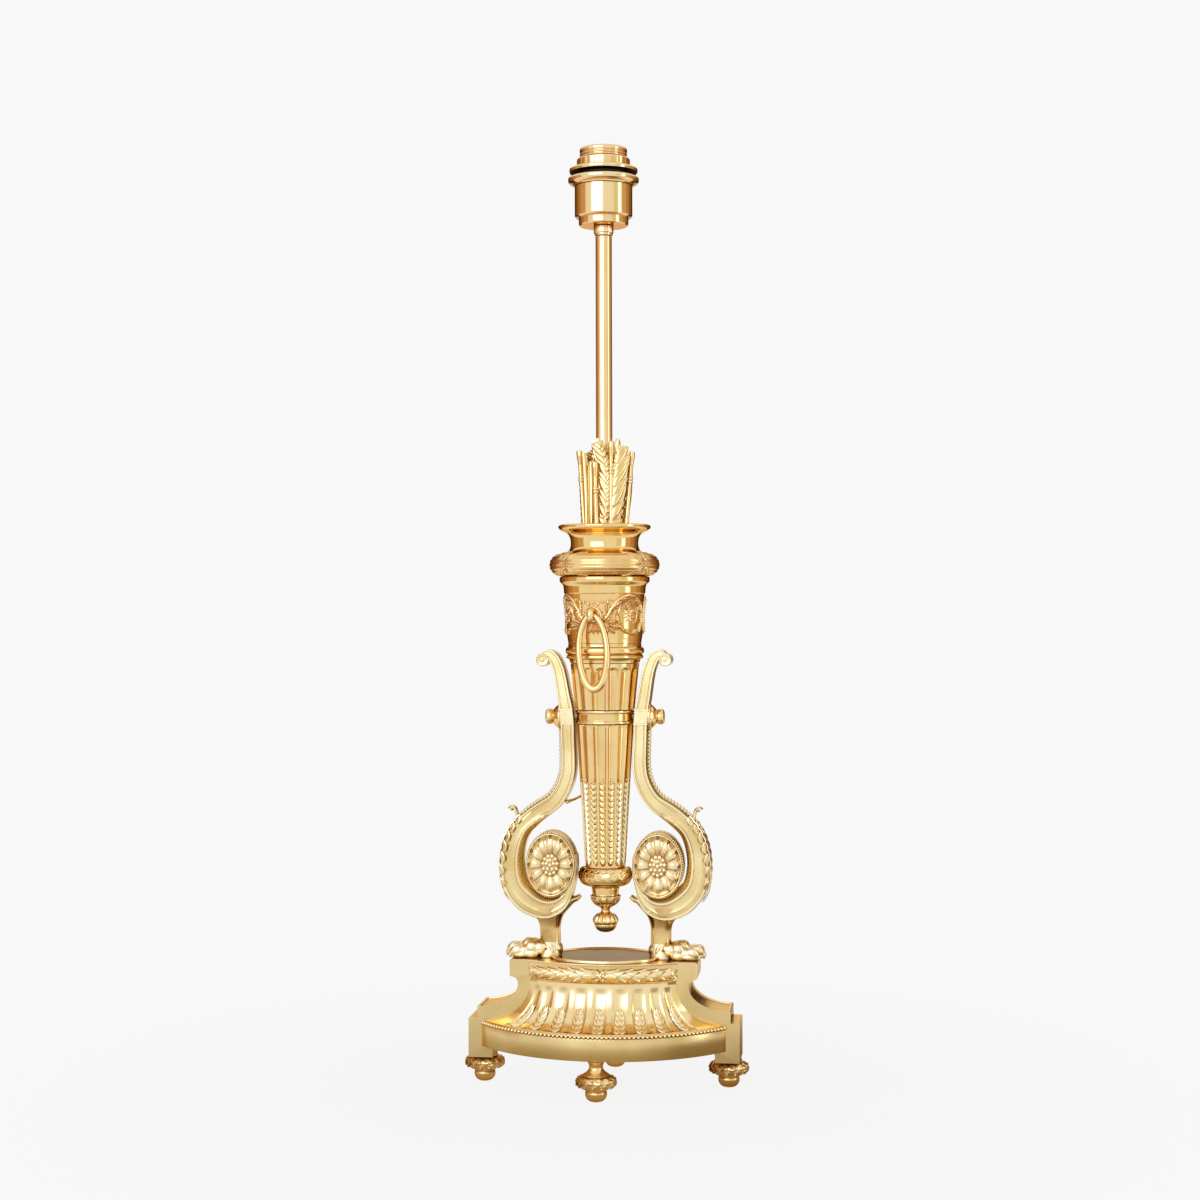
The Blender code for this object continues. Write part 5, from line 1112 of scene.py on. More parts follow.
def make_slab():
    """The slab's outline pushed through, with the hollow of its ends sunk between narrow borders."""
    half = [(x, z, 0) for x, z in (
        (0.0, 40.0), (86.0, 40.0), (90.5, 37.5), (92.6, 33.0), (93.0, 28.0), (93.0, 23.6), (113.5, 23.6),
        (113.5, 55.6), (113.1, 56.4), (106.4, 56.4), (106.0, 56.8), (106.0, 65.9), (105.6, 66.3), (103.6, 66.3))]
    half.append((103.4, 66.3, 0.9))
    for step in range(1, 17):
        turn = pi / 2 * step / 16
        half.append((71.4 + 32.6 * (1 - sin(turn)), 66.3 + 19.7 * (1 - cos(turn)), 0.9 if step < 15 else 0.0))
    half += [(x, z, 0) for x, z in (
        (71.9, 88.4), (73.2, 90.2), (75.2, 91.3), (77.6, 91.7), (78.3, 92.2), (78.5, 93.2), (78.5, 104.9),
        (78.2, 105.3), (77.7, 105.4), (77.5, 105.8), (77.1, SLAB_TOP))]
    rings = []
    for y, deep in ((-20.0, 0), (-18.3, 0), (-18.0, 1), (18.0, 1), (18.3, 0), (20.0, 0)):
        side = []
        for x, z, sunk in half:
            over, up = x - END_COVE[0], z - END_COVE[1]
            pull = deep * sunk / hypot(over, up)
            side.append((x + over * pull, z + up * pull))
        outline = side + [(-x, z) for x, z in side[::-1] if x > 0]
        rings.append([Vector((x * MM, y * MM, z * MM)) for x, z in outline])
    piece("moulded_slab", skinned(rings), SATIN, ["base_slab"], sharp=30, bevel=0.35)


def bow_radius(chord, sag):
    return (chord**2 + sag**2) / (2 * sag)


def arc_point(chord, sag, share, z, end):
    """A point of a bow's arc, from -1 at its left end to 1 at its right, in millimetres, and its angle."""
    radius = bow_radius(chord, sag)
    turn = asin(chord / radius) * share
    return Vector((radius * sin(turn), end * (BOW_FACE + sag - radius + radius * cos(turn)), z)), turn


def bow_sides(turn, end):
    """A bow's level outward direction at an angle of its arc, and the one along it."""
    return Vector((sin(turn), end * cos(turn), 0)), Vector((cos(turn), -end * sin(turn), 0))


def cove_level(share):
    """Chord, sag, height and slope of the fluted hollow, from 0 at its top to 1 at its foot."""
    turn = pi / 2 * share
    level = COVE_TOP - (COVE_TOP - COVE_FOOT) * sin(turn)
    return 98.0 - 37.0 * cos(turn), 47.0 - 31.0 * cos(turn), level, turn


# Chord, sag and height of the bow's mouldings above the fluted hollow and below it
BOW_HEAD = (
    (62.5, 18.1, 106.0), (62.9, 18.4, 105.8), (63.0, 18.5, 105.3), (62.8, 18.3, 104.7), (61.4, 16.6, 104.5),
    (61.0, 16.0, 104.3), (61.0, 16.0, 92.0), (61.5, 16.6, 91.6), (61.9, 17.0, 90.9), (61.5, 16.5, 90.1),
)
BOW_APRON = (
    (98.3, 47.3, 54.2), (98.3, 47.3, 51.9), (98.6, 47.5, 51.6), (101.3, 49.6, 51.5), (101.8, 50.05, 51.3),
    (102.0, 50.2, 50.8), (102.0, 50.2, 34.0), (101.8, 50.05, 33.5), (101.4, 49.7, 33.2),
)


def bow_levels():
    """Rows of chord, sag, height, the level of the hollow that spaces their columns, and whether they are fluted."""
    levels = [(*row, 0, False) for row in BOW_HEAD]
    levels += [(*cove_level(step / COVE_ROWS)[:3], step / COVE_ROWS, True) for step in range(COVE_ROWS + 1)]
    return levels + [(*row, 1, False) for row in BOW_APRON]


def flute_across(place, share):
    """How far to the side a place counted in flutes lies, at a level of the hollow, in millimetres."""
    top = 64.0 * sin(radians(14.5 * place))
    return top + (19.1 * place - top) * (1 - cos(pi / 2 * share))


def flute_share(place, share, chord, sag):
    """The same place as a share of the bow's arc."""
    return asin(flute_across(place, share) / bow_radius(chord, sag)) / asin(chord / bow_radius(chord, sag))


def bow_sink(share):
    """The depth of the bow's flutes at a level of the hollow, in millimetres."""
    return 0.8 + 1.3 * share


def bow_flute(place, share, chord, sag):
    """How deep the bow's flutes are at a place counted in flutes from the middle, as a share of their depth."""
    number = round(place)
    if abs(number) > BOW_FLUTES // 2 or not FLUTE_HEAD < share < FLUTE_TAIL:
        return 0.0
    turn = asin(flute_across(number, share) / bow_radius(chord, sag))
    pitch = (flute_across(number + 0.5, share) - flute_across(number - 0.5, share)) / cos(turn)
    gap = min(share - FLUTE_HEAD, FLUTE_TAIL - share) * COVE_RUN
    return flute_depth(abs(place - number) * pitch, gap, (0.33 + 0.05 * share) * pitch, 1.6)


def make_bow(end, name):
    levels = bow_levels()
    columns = BOW_FLUTES * FLUTE_COLUMNS + 2 * SIDE_COLUMNS
    last = BOW_FLUTES / 2
    bm = bmesh.new()
    bmesh.ops.create_grid(bm, x_segments=columns, y_segments=len(levels) - 1, size=0.5)
    for vert in bm.verts:
        column = round((vert.co.x + 0.5) * columns)
        row = round((0.5 - vert.co.y) * (len(levels) - 1))
        chord, sag, z, share, fluted = levels[row]
        place = (column - SIDE_COLUMNS) / FLUTE_COLUMNS - last
        if abs(place) <= last:
            across = flute_share(place, share, chord, sag)
        else:
            edge = flute_share(last, share, chord, sag)
            over = (abs(place) - last) * FLUTE_COLUMNS / SIDE_COLUMNS
            across = (edge + (1 - edge) * over) * (1 if place > 0 else -1)
        point, turn = arc_point(chord, sag, across, z, end)
        if fluted and abs(place) < last:
            slope = pi / 2 * share
            out = raised(bow_sides(turn, end)[0], slope)
            point -= out * bow_sink(share) * bow_flute(place, share, chord, sag)
        vert.co = point * MM
    give_second_finish(bm, lambda face: lowest(face) < APRON_TOP + 0.1)
    rim = [edge for edge in bm.edges if len(edge.link_faces) == 1]
    for item in bmesh.ops.extrude_edge_only(bm, edges=rim)["geom"]:
        if isinstance(item, bmesh.types.BMVert):
            item.co.y = end * (BOW_FACE - 0.5) * MM
    bmesh.ops.remove_doubles(bm, verts=bm.verts, dist=0.002 * MM)
    bmesh.ops.holes_fill(bm, edges=bm.edges[:], sides=0)
    piece(f"{name}_fluted_bow", bm, (BOW_GOLD, SATIN), [f"{name}_bow"], sharp=32)


def make_bow_husks(end, name):
    """Leafy sprigs that grow up the bow's flutes from their feet."""
    whole = bmesh.new()
    sprig = make_sprig(8.6, 3.9, 9.4, across=4, along=6, dome=0.24)
    for number in range(-(BOW_FLUTES // 2), BOW_FLUTES // 2 + 1):
        for share, size in ((0.91, 1.10), (0.80, 1.06), (0.69, 1.0), (0.58, 0.86), (0.48, 0.66)):
            spots = []
            for level in (share, share - 0.10):
                chord, sag, z, slope = cove_level(level)
                point, turn = arc_point(chord, sag, flute_share(number, level, chord, sag), z, end)
                out = raised(bow_sides(turn, end)[0], slope)
                spots.append((point - out * (bow_sink(level) - 0.3), out))
            place = facing(spots[0][0] * MM, spots[1][0] - spots[0][0], spots[0][1])
            stamp(whole, sprig, place @ Matrix.Scale(size, 4))
    piece(f"{name}_bow_husks", whole, BOW_GOLD, sharp=60)


def laurel_point(share, end):
    return arc_point(LAUREL_CHORD, LAUREL_SAG, share, LAUREL_Z, end)


def make_laurel(end, name):
    """A bundle of leaves and berries that grow from its middle to both ends, bound by hoops."""
    whole = bmesh.new()
    line = [laurel_point(-0.94 + 1.88 * i / 60, end)[0] for i in range(61)]
    join(whole, tube(line, radii_along(line, lambda share: 3.7 - 1.2 * (2 * share - 1) ** 2), 16))
    leaf = as_mesh(blade(13.4, 6.4, 0.5, dome=0.27, curl=0.0, vein=0.07, across=8, along=10, fullness=0.9))
    berry = as_mesh(ball(1.3, 2))
    for side in (-1, 1):
        for row in range(10):
            share = (0.045 + 0.088 * row) * side
            size = 1 - 0.34 * share * share
            start, turn = laurel_point(share, end)
            out, along = bow_sides(turn, end)
            for spot in (-44, 44) if row % 2 else (-80, 0, 80):
                around = raised(out, radians(spot))
                place = facing((start + around * 3.2 * size) * MM, along * side + around * 0.10, around)
                stamp(whole, leaf, place @ Matrix.Scale(size, 4))
            for spot in () if row % 2 else (-40, 40):
                around = raised(out, radians(spot))
                stamp(whole, berry, Matrix.Translation((start + around * 4.6 * size) * MM) @ Matrix.Scale(size, 4))
    for share, lean in ((0.0, -0.45), (0.0, 0.45), (-0.935, 0.0), (0.935, 0.0)):
        start, turn = laurel_point(share, end)
        out, along = bow_sides(turn, end)
        round_by = 4.9 - 1.1 * abs(share)
        hoop = []
        for step in range(15):
            swing = radians(-95 + 190 * step / 14)
            hoop.append(start + raised(out, swing) * round_by + along * lean * 6.0 * sin(swing))
        join(whole, tube(hoop, 0.95, 8))
    piece(f"{name}_laurel_bundle", whole, BOW_GOLD, [f"{name}_laurel_band"], sharp=50)


def round_bead(radius, around, along):
    bm = bmesh.new()
    bmesh.ops.create_uvsphere(bm, u_segments=around, v_segments=along, radius=radius * MM)
    return as_mesh(bm)


def make_beads(end, name):
    whole = bmesh.new()
    bead = round_bead(1.55, 10, 6)
    for number in range(64):
        point, _ = arc_point(101.9, 50.2, -0.99 + 1.98 * number / 63, 52.5, end)
        stamp(whole, bead, shift(*point))
    line = [arc_point(99.2, 48.2, -0.99 + 1.98 * i / 80, 53.0, end)[0] for i in range(81)]
    join(whole, tube(line, 0.8, 6))
    piece(f"{name}_pearl_row", whole, POLISHED, [f"{name}_bead_string"], sharp=60)


def make_plate():
    outline = [
        (0.0, 107.2), (34.6, 107.2), (34.9, 107.4), (35.2, 108.2), (35.6, 108.5), (36.1, 108.4), (36.5, 107.9),
        (36.5, 106.3), (0.0, 106.3),
    ]
    bm = turned(outline, 144, closed=False)
    stretch(bm, (PLATE_STRETCH, 1, 1))
    for face in bm.faces:
        middle = face.calc_center_median()
        face.material_index = int(hypot(middle.x / PLATE_STRETCH, middle.y) > 34.7 * MM)
    piece("oval_plate", bm, (PLATE, POLISHED), ["top_plate"], sharp=45)


def make_feet():
    torus = eased([
        (9.0, 21.2), (12.2, 20.8), (14.6, 19.6), (15.7, 17.8), (15.8, 16.2), (15.0, 13.8), (12.8, 11.7), (10.6, 11.0),
    ], 4)
    low = eased([
        (9.6, 10.6), (9.7, 10.1), (9.0, 9.6), (8.2, 9.1), (8.6, 8.2), (8.9, 6.6), (8.5, 4.2), (6.9, 1.8), (4.8, 0.5),
        (3.2, 0.0),
    ], 4)
    leaf = as_mesh(blade(7.0, 5.0, 0.4, dome=0.10, curl=-0.04, across=4, along=6, fullness=0.85))
    for name, x, y, top in FEET:
        if name in ("front", "rear"):
            neck = eased([
                (7.4, top), (7.0, top - 1.0), (6.0, top - 2.8), (5.6, top - 4.6), (6.0, top - 6.6), (7.6, top - 8.8),
                (10.4, top - 10.8), (11.8, 21.4),
            ], 4)
        else:
            neck = [(10.6, top), (10.9, top - 0.2), (10.9, 21.6)]
        whole = turned([(0.0, top)] + neck + torus + low + [(0.0, 0.0)], 72, closed=False)
        for row, level in enumerate((38, 4, -30)):
            lift = radians(level)
            for turn in round_turns(14, row / 2):
                spot, out = on_torus(turn, lift, 10.8, 4.3, 16.0), outward(turn, lift)
                stamp(whole, leaf, facing(spot * MM, sideways(turn) + out * 0.12, out))
        bmesh.ops.translate(whole, vec=(x * MM, y * MM, 0), verts=whole.verts)
        piece(f"{name}_ball_foot", whole, CHASED, [f"foot_{name}"], sharp=50)


# ---------------------------------------------------------------- scroll legs
ARM_SEAT = 25.1
SCROLL_SPAN = 62.1
PIVOT_RISE = 202.0
LEG_HALF_DEPTH = 10.5
CORE_RADIUS = 7.3
PAW_HEEL = 38.0
PAW_FOOT = 106.3
STEM_AXIS = 46.8
STEM_GOLD_FOOT = 118.0
# Height, half width and half depth of the stem above the paw, and how far it leans outwards
PAW_STEM = (
    (106.4, 9.9, 10.0, 0.6), (108.0, 9.8, 9.8, 0.5), (112.0, 9.3, 9.2, 0.3), (117.0, 8.8, 8.4, 0.1),
    (124.0, 8.6, 7.6, 0.0), (131.0, 8.8, 7.5, 0.2), (136.5, 10.2, 8.4, 0.6), (140.6, 13.0, 9.5, 1.8),
    (145.0, 17.0, 9.9, 2.7), (149.0, 21.0, 9.9, 3.6),
)
# The leg's middle line from the curled top to the tail: shares of span and rise, and width share
LEG_LINE = (
    (0.432, 1.250, 0.33), (0.368, 1.262, 0.61), (0.286, 1.248, 0.74), (0.230, 1.215, 0.79),
    (0.190, 1.173, 0.84), (0.147, 1.094, 0.90), (0.097, 1.0, 1.0), (0.088, 0.901, 0.97),
    (0.080, 0.802, 1.0), (0.105, 0.743, 1.04), (0.180, 0.688, 1.08), (0.288, 0.644, 1.14),
    (0.441, 0.611, 1.24), (0.570, 0.581, 1.32), (0.728, 0.532, 1.36), (0.824, 0.465, 1.50),
    (0.855, 0.387, 1.56), (0.800, 0.307, 1.53), (0.668, 0.248, 1.46), (0.514, 0.215, 1.37),
    (0.353, 0.209, 1.28), (0.208, 0.220, 1.0), (0.110, 0.250, 0.66), (0.048, 0.290, 0.34),
    (0.006, 0.335, 0.20), (-0.012, 0.380, 0.14), (-0.004, 0.425, 0.10),
)
# How much fuller the outer edge is at each knot, in millimetres
LEG_SWELL = (0,) * 16 + (0.3, 2.6, 3.2, 2.2, 2.0, 0.6) + (0,) * 5
LEG_STEPS = 4
# Half of the moulded section from the inner edge to the outer one: across and through on the arm,
# then the same on the scroll, where the inner edge is hollowed
LEG_SECTION = (
    (-1.00, 0.93, -1.00, 0.50), (-0.94, 1.00, -0.80, 0.72), (-0.76, 1.00, -0.62, 0.90), (-0.70, 0.90, -0.52, 1.00),
    (-0.54, 0.90, -0.34, 1.00), (-0.48, 0.95, -0.28, 0.93), (-0.30, 0.95, -0.12, 0.905), (-0.08, 0.95, 0.06, 0.893),
    (0.14, 0.95, 0.22, 0.90), (0.32, 0.95, 0.36, 0.912), (0.48, 0.95, 0.46, 0.93), (0.54, 0.90, 0.54, 0.90),
    (0.70, 0.90, 0.70, 0.90), (0.76, 1.00, 0.76, 1.00), (0.94, 1.00, 0.94, 1.00), (1.00, 0.93, 1.00, 0.93),
    (1.00, 0.82, 1.00, 0.82), (0.92, 0.76, 0.92, 0.76),
)


def leg_point(x_share, z_share):
    return ARM_SEAT + SCROLL_SPAN * x_share, SLAB_TOP + PIVOT_RISE * z_share


EYE_X, EYE_Z = leg_point(0.324, 0.386)
EYE_WIDE = 20.8
EYE_TALL = 27.0
# Height and growth of the strap round the leg at the pivot
PIVOT_STRAP = (
    (301.4, 0.2), (301.6, 0.8), (302.6, 0.8), (302.9, 0.35), (313.1, 0.35), (313.4, 0.8), (314.4, 0.8), (314.6, 0.2),
)
PEARL_GAP = 3.2
PEARL_TOP = 296.5


def leg_line():
    """The middle line in millimetres, with its width, outward normal and direction."""
    knots = [(*leg_point(x, z), 11.4 * width, more) for (x, z, width), more in zip(LEG_LINE, LEG_SWELL)]
    run = eased(knots, LEG_STEPS)
    stations = []
    for i, (x, z, width, more) in enumerate(run):
        before = run[max(i - 1, 0)]
        after = run[min(i + 1, len(run) - 1)]
        along = Vector((after[0] - before[0], after[1] - before[1])).normalized()
        normal = Vector((-along.y, 0, along.x))
        stations.append((Vector((x, 0, z)) + normal * more / 2, width + more, normal, Vector((along.x, 0, along.y))))
    return stations


def clamped(value):
    return min(max(value, 0), 1)


def softened(value):
    return value * value * (3 - 2 * value)


def sided(side, name, bm, finish, cad_name, sharp):
    """A piece that was made on the right, mirrored where it belongs on the left."""
    word = "left" if side < 0 else "right"
    if side < 0:
        stretch(bm, (-1, 1, 1))
    piece(f"{word}_{name}", bm, finish, [f"{word}_{cad_name}"], sharp=sharp)


def leg_rings(stations):
    """The leg's sections. They are hollowed on the scroll, and the tail closes on the rosette's rim."""
    rings = []
    for i, (centre, width, normal, _) in enumerate(stations):
        knot = i / LEG_STEPS
        hollow = softened(clamped((knot - 11) / 3) * clamped((23 - knot) / 2))
        half = [(a + (c - a) * hollow, b + (d - b) * hollow) for a, b, c, d in LEG_SECTION]
        section = [(a, -b) for a, b in half] + half[::-1]
        inner = centre - normal * width / 2
        outer = centre + normal * width / 2
        from_eye = Vector(((inner.x - EYE_X) / EYE_WIDE, 0, (inner.z - EYE_Z) / EYE_TALL))
        closing = softened(clamped((knot - 17) / 1.4))
        if closing and from_eye.length > 0.985:
            rim = from_eye * (0.985 / from_eye.length)
            inner = inner.lerp(Vector((EYE_X + rim.x * EYE_WIDE, 0, EYE_Z + rim.z * EYE_TALL)), closing)
        rings.append([
            (inner.lerp(outer, (a + 1) / 2) + Vector((0, LEG_HALF_DEPTH * b, 0))) * MM for a, b in section
        ])
    return rings


def add_leg_pearls(whole, stations):
    """Pearls at an even spacing along the leg's outer edge."""
    pearl = round_bead(1.9, 8, 5)
    edges = [centre + normal * (width / 2 + 1.3) for centre, width, normal, _ in stations]
    spent = 0.0
    for last, edge in zip(edges, edges[1:]):
        step = (edge - last).length
        while spent + step > PEARL_GAP:
            last = last.lerp(edge, (PEARL_GAP - spent) / step)
            step = (edge - last).length
            spent = 0.0
            if last.z < PEARL_TOP:
                stamp(whole, pearl, shift(last.x, 0.0, last.z))
        spent += step


def make_leg(side):
    stations = leg_line()
    whole = skinned(leg_rings(stations))
    x, z = leg_point(0.427, 1.2365)
    curl = [(0.0, 10.9), (1.0, 10.8), (1.7, 10.3), (2.2, 10.2), (3.2, 10.5), (4.4, 10.7), (5.2, 10.3), (5.5, 9.6)]
    curl = turned(curl + [(r, -y) for r, y in curl[::-1]], 40, closed=False)
    join(whole, curl, Matrix.Translation((x * MM, 0, z * MM)) @ Matrix.Rotation(pi / 2, 4, "X"))
    band = []
    for z, grow in PIVOT_STRAP:
        centre, width, _, _ = min(stations[: 12 * LEG_STEPS], key=lambda station: abs(station[0].z - z))
        inner, outer = centre.x - width / 2 + 0.2, centre.x + width / 2 + grow * 0.6
        y = LEG_HALF_DEPTH + grow
        front = [(inner, -y, z), (outer - 0.5, -y, z), (outer, -y + 0.5, z)]
        band.append([Vector(point) * MM for point in front + [(x, -y, z) for x, y, z in front[::-1]]])
    join(whole, skinned(band))
    add_leg_pearls(whole, stations[3 * LEG_STEPS : 14 * LEG_STEPS + 3])
    horn = eased([(38.0, 0, 145.0), (32.4, 0, 150.0), (28.0, 0, 153.6), (24.2, 0, 155.0), (21.4, 0, 157.4)], 4)
    spur = tube(horn, radii_along(horn, lambda share: 5.0 - 3.2 * share**0.7), 14)
    stretch(spur, (1, 2.2, 1))
    join(whole, spur)
    sided(side, "scroll_leg", whole, LEG_GOLD, "leg", 34)


def make_petal(length, width):
    """A domed petal with a crease and a notched, rounded end, growing along +Z and facing -Y."""
    bm = bmesh.new()
    bmesh.ops.create_grid(bm, x_segments=10, y_segments=12, size=0.5)
    for vert in bm.verts:
        side = 2 * vert.co.x
        rise = vert.co.y + 0.5
        swell = 0.40 + 0.60 * sin(pi * 0.62 * rise)
        close = sqrt(max(1 - max((rise - 0.66) / 0.35, 0) ** 2, 0.0))
        half = width / 2 * swell * (0.16 + 0.84 * close)
        notch = 0.10 * exp(-((side / 0.3) ** 2)) * max(rise - 0.7, 0) / 0.3
        out = 3.7 * sin(pi * min(rise * 0.74 + 0.04, 1)) * (1 - 0.85 * side * side)
        out -= 0.45 * exp(-((side / 0.14) ** 2)) * sin(pi * rise)
        vert.co = Vector((side * half, -out, length * (rise - notch))) * MM
    bmesh.ops.recalc_face_normals(bm, faces=bm.faces)
    bmesh.ops.solidify(bm, geom=bm.faces[:], thickness=0.9 * MM)
    return as_mesh(bm)


def make_rosette(side):
    whole = bmesh.new()
    knots = eased([
        (1.0, 5.0), (1.0, 8.6), (0.99, 10.8), (0.975, 12.1), (0.955, 12.5), (0.93, 12.3), (0.91, 11.6), (0.88, 11.0),
        (0.82, 10.4), (0.70, 9.7), (0.50, 9.2), (0.20, 9.0),
    ], 3)
    outline = [(0.0, 9.0)] + knots[::-1]
    outline += [(r, -y) for r, y in outline[::-1]]
    dish = turned([(r * 1000, y) for r, y in outline], 96, closed=False)
    stretch(dish, (EYE_WIDE * MM, EYE_WIDE * MM, 1))
    petal = make_petal(12.0, 9.6)
    under = make_petal(12.4, 6.4)
    grain = as_mesh(ball(1.75, 2))
    pearl = as_mesh(ball(0.95, 1))
    tall = (1, 1, EYE_TALL / EYE_WIDE)
    for face in (-1, 1):
        flower = bmesh.new()
        for turn in round_turns(12):
            for leaf, onward, reach, y in ((under, pi / 12, 4.6, -9.2), (petal, 0.0, 5.4, -10.2)):
                up = Vector((sin(turn + onward), 0, cos(turn + onward)))
                stamp(flower, leaf, facing(Vector((up.x * reach, y, up.z * reach)) * MM, up, (0, -1, 0)))
        core = ball(CORE_RADIUS, 3)
        stretch(core, (1, 0.5, 1))
        join(flower, core, Matrix.Translation((0, -10.4 * MM, 0)))
        for ring, count, offset in ((0.0, 1, 0.0), (3.1, 5, 0.0), (5.8, 11, 0.5)):
            drop = -10.4 - 0.5 * sqrt(CORE_RADIUS**2 - ring * ring)
            for turn in round_turns(count, offset):
                stamp(flower, grain, shift(ring * sin(turn), drop, ring * cos(turn)))
        for turn in round_turns(76):
            stamp(flower, pearl, shift(20.7 * sin(turn), -8.9, 20.7 * cos(turn)))
        stretch(flower, tall)
        stretch(flower, (1, -face, 1))
        join(whole, flower)
    swing_round(dish, pi / 2, "X")
    stretch(dish, tall)
    join(whole, dish)
    bmesh.ops.translate(whole, vec=(EYE_X * MM, 0, EYE_Z * MM), verts=whole.verts)
    sided(side, "oval_flower", whole, MATTED, "rosette", 50)


def make_leaf(side):
    """The acanthus leaf down the scroll's back: a ribbed spine, lobes that fold round both edges, a curled tip."""
    stations = leg_line()[13 * LEG_STEPS + 2 : 17 * LEG_STEPS + 3]
    count = len(stations) - 1
    whole = bmesh.new()
    bmesh.ops.create_grid(whole, x_segments=24, y_segments=count * 3, size=0.5)
    for vert in whole.verts:
        side_share = 2 * vert.co.x
        run = vert.co.y + 0.5
        at = run * count
        low = min(int(at), count - 1)
        a, b = stations[low], stations[low + 1]
        share = at - low
        centre = a[0].lerp(b[0], share)
        width = a[1] + (b[1] - a[1]) * share
        normal = a[2].lerp(b[2], share).normalized()
        half = 10.6 * (0.62 + 0.38 * sin(pi * min(run * 1.1 + 0.12, 1)))
        slant = run * 88 + abs(side_share) * 9
        lobe = abs(sin(pi * slant / 8.0)) ** 0.7
        out = 0.5 + 0.9 * lobe * (0.3 + 0.7 * abs(side_share)) + 0.8 * exp(-((side_share / 0.10) ** 2))
        vert.co = (centre + normal * (width / 2 + out) + Vector((0, side_share * half, 0))) * MM
    bmesh.ops.recalc_face_normals(whole, faces=whole.faces)
    bmesh.ops.solidify(whole, geom=whole.faces[:], thickness=0.9 * MM)
    lobe = as_mesh(blade(10.4, 6.6, 1.2, dome=0.16, curl=-0.02, vein=0.08, across=8, along=10, fullness=0.9))
    for i in range(2, count, 2):
        centre, width, normal, along = stations[i]
        for y in (-1, 1):
            out = (normal * 0.75 + Vector((0, y * 0.66, 0))).normalized()
            spot = centre + normal * (width / 2 - 1.3) + Vector((0, y * 9.5, 0))
            size = 0.80 + 0.3 * sin(pi * i / count)
            stamp(whole, lobe, facing(spot * MM, -along + Vector((0, y * 0.10, 0)), out) @ Matrix.Scale(size, 4))
    stalk = eased([
        (69.6, 0, 212.6), (72.6, 0, 217.6), (74.3, 0, 221.6), (75.2, 0, 226.0), (76.6, 0, 229.8), (79.0, 0, 231.2),
        (80.6, 0, 229.6),
    ], 4)
    tip = tube(stalk, radii_along(stalk, lambda share: 2.5 - sin(pi * share)), 12)
    stretch(tip, (1, 2.6, 1))
    join(whole, tip)
    sided(side, "acanthus", whole, MATTED, "acanthus_leaf", 40)


def melted(bm):
    """The lumps of a mesh melted into one skin."""
    lumps = put("paw_lumps", as_mesh(bm))
    melt = lumps.modifiers.new("melt", "REMESH")
    melt.mode = "VOXEL"
    melt.voxel_size = 0.45 * MM
    ease = lumps.modifiers.new("ease", "SMOOTH")
    ease.iterations = 3
    ease.factor = 0.5
    bpy.context.view_layer.update()
    mesh = bpy.data.meshes.new_from_object(lumps.evaluated_get(bpy.context.evaluated_depsgraph_get()))
    bpy.data.objects.remove(lumps)
    whole = bmesh.new()
    whole.from_mesh(mesh)
    bpy.data.meshes.remove(mesh)
    return whole


def squared(value):
    """A cosine or sine that makes a round section slightly square."""
    return abs(value) ** 0.86 * (1 if value > 0 else -1)


def make_paw(side):
    """Ellipsoids of pads, toes and hair, melted into one casting, with the stem above."""
    whole = bmesh.new()

    def lump(x, y, z, rx, ry, rz, lean=0.0):
        bm = ball(1.0, 3)
        stretch(bm, (rx, ry, rz))
        swing_round(bm, radians(lean), "Y")
        join(whole, bm, shift(PAW_HEEL + x, y, PAW_FOOT + z))

    lump(9, 0, 6.0, 11.0, 9.0, 9.0)
    lump(18, 0, 6.6, 10, 9.6, 6.8, 10)
    for y, reach, rise in ((-10.4, -3.6, -0.8), (-3.6, 0.0, 0.4), (3.6, 0.0, 0.4), (10.4, -3.6, -0.8)):
        lump(21 + reach, y * 0.84, 8.0 + rise, 7.0, 3.6, 5.2, 14)
        lump(27.4 + reach, y * 0.95, 8.8 + rise, 5.4, 3.8, 5.6)
        lump(34.0 + reach, y, 5.6 + rise, 4.2, 3.2, 4.4)
        lump(39.4 + reach, y * 1.03, 6.2 + rise, 5.8, 3.7, 4.9, 12)
        lump(37.0 + reach, y, 2.4, 7.6, 3.9, 3.0)
        lump(28.0 + reach, y * 0.95, 3.0, 7.0, 4.2, 4.0)
        for step in range(6):
            share = step / 5
            x, z = 43.0 + reach + 2.2 * sin(share * 1.8), 5.4 + rise - 4.6 * share
            lump(x, y * 1.03, z, 2.2 - 1.1 * share, 1.7 - 0.8 * share, 2.0 - 0.8 * share)
    for y in (-1, 1):
        for x, z, lean, size in ((12.5, 9.5, 40, 1.0), (17.5, 10.5, 58, 0.8), (7.0, 7.6, 20, 1.0)):
            lump(x, y * 8.0, z, 1.8 * size, 1.6, 5.4 * size, lean)
    whole = melted(whole)
    for vert in whole.verts:
        x, y = vert.co.x / MM - PAW_HEEL, vert.co.y / MM
        fur = sin(x * 1.25 + 0.9 * sin(y * 0.8)) * max(1 - abs(x - 10) / 16, 0)
        vert.co.z = max(vert.co.z + 0.45 * fur * MM, PAW_FOOT * MM)
    rings = []
    for z, wide, deep, outer in eased(PAW_STEM, 4):
        rings.append([
            Vector((STEM_AXIS + outer + wide * squared(cos(turn)), deep * squared(sin(turn)), z)) * MM
            for turn in round_turns(40)
        ])
    join(whole, skinned(rings))
    # The stem above the paw takes the finish with painted shade under the scroll.
    give_second_finish(whole, lambda face: lowest(face) > STEM_GOLD_FOOT)
    # The paw's paler gilding paints in its highlights.
    sided(side, "lion_paw", whole, (PAW_GOLD_AND_HIGHLIGHT, STEM_GOLD_AND_SHADE), "paw", 60)


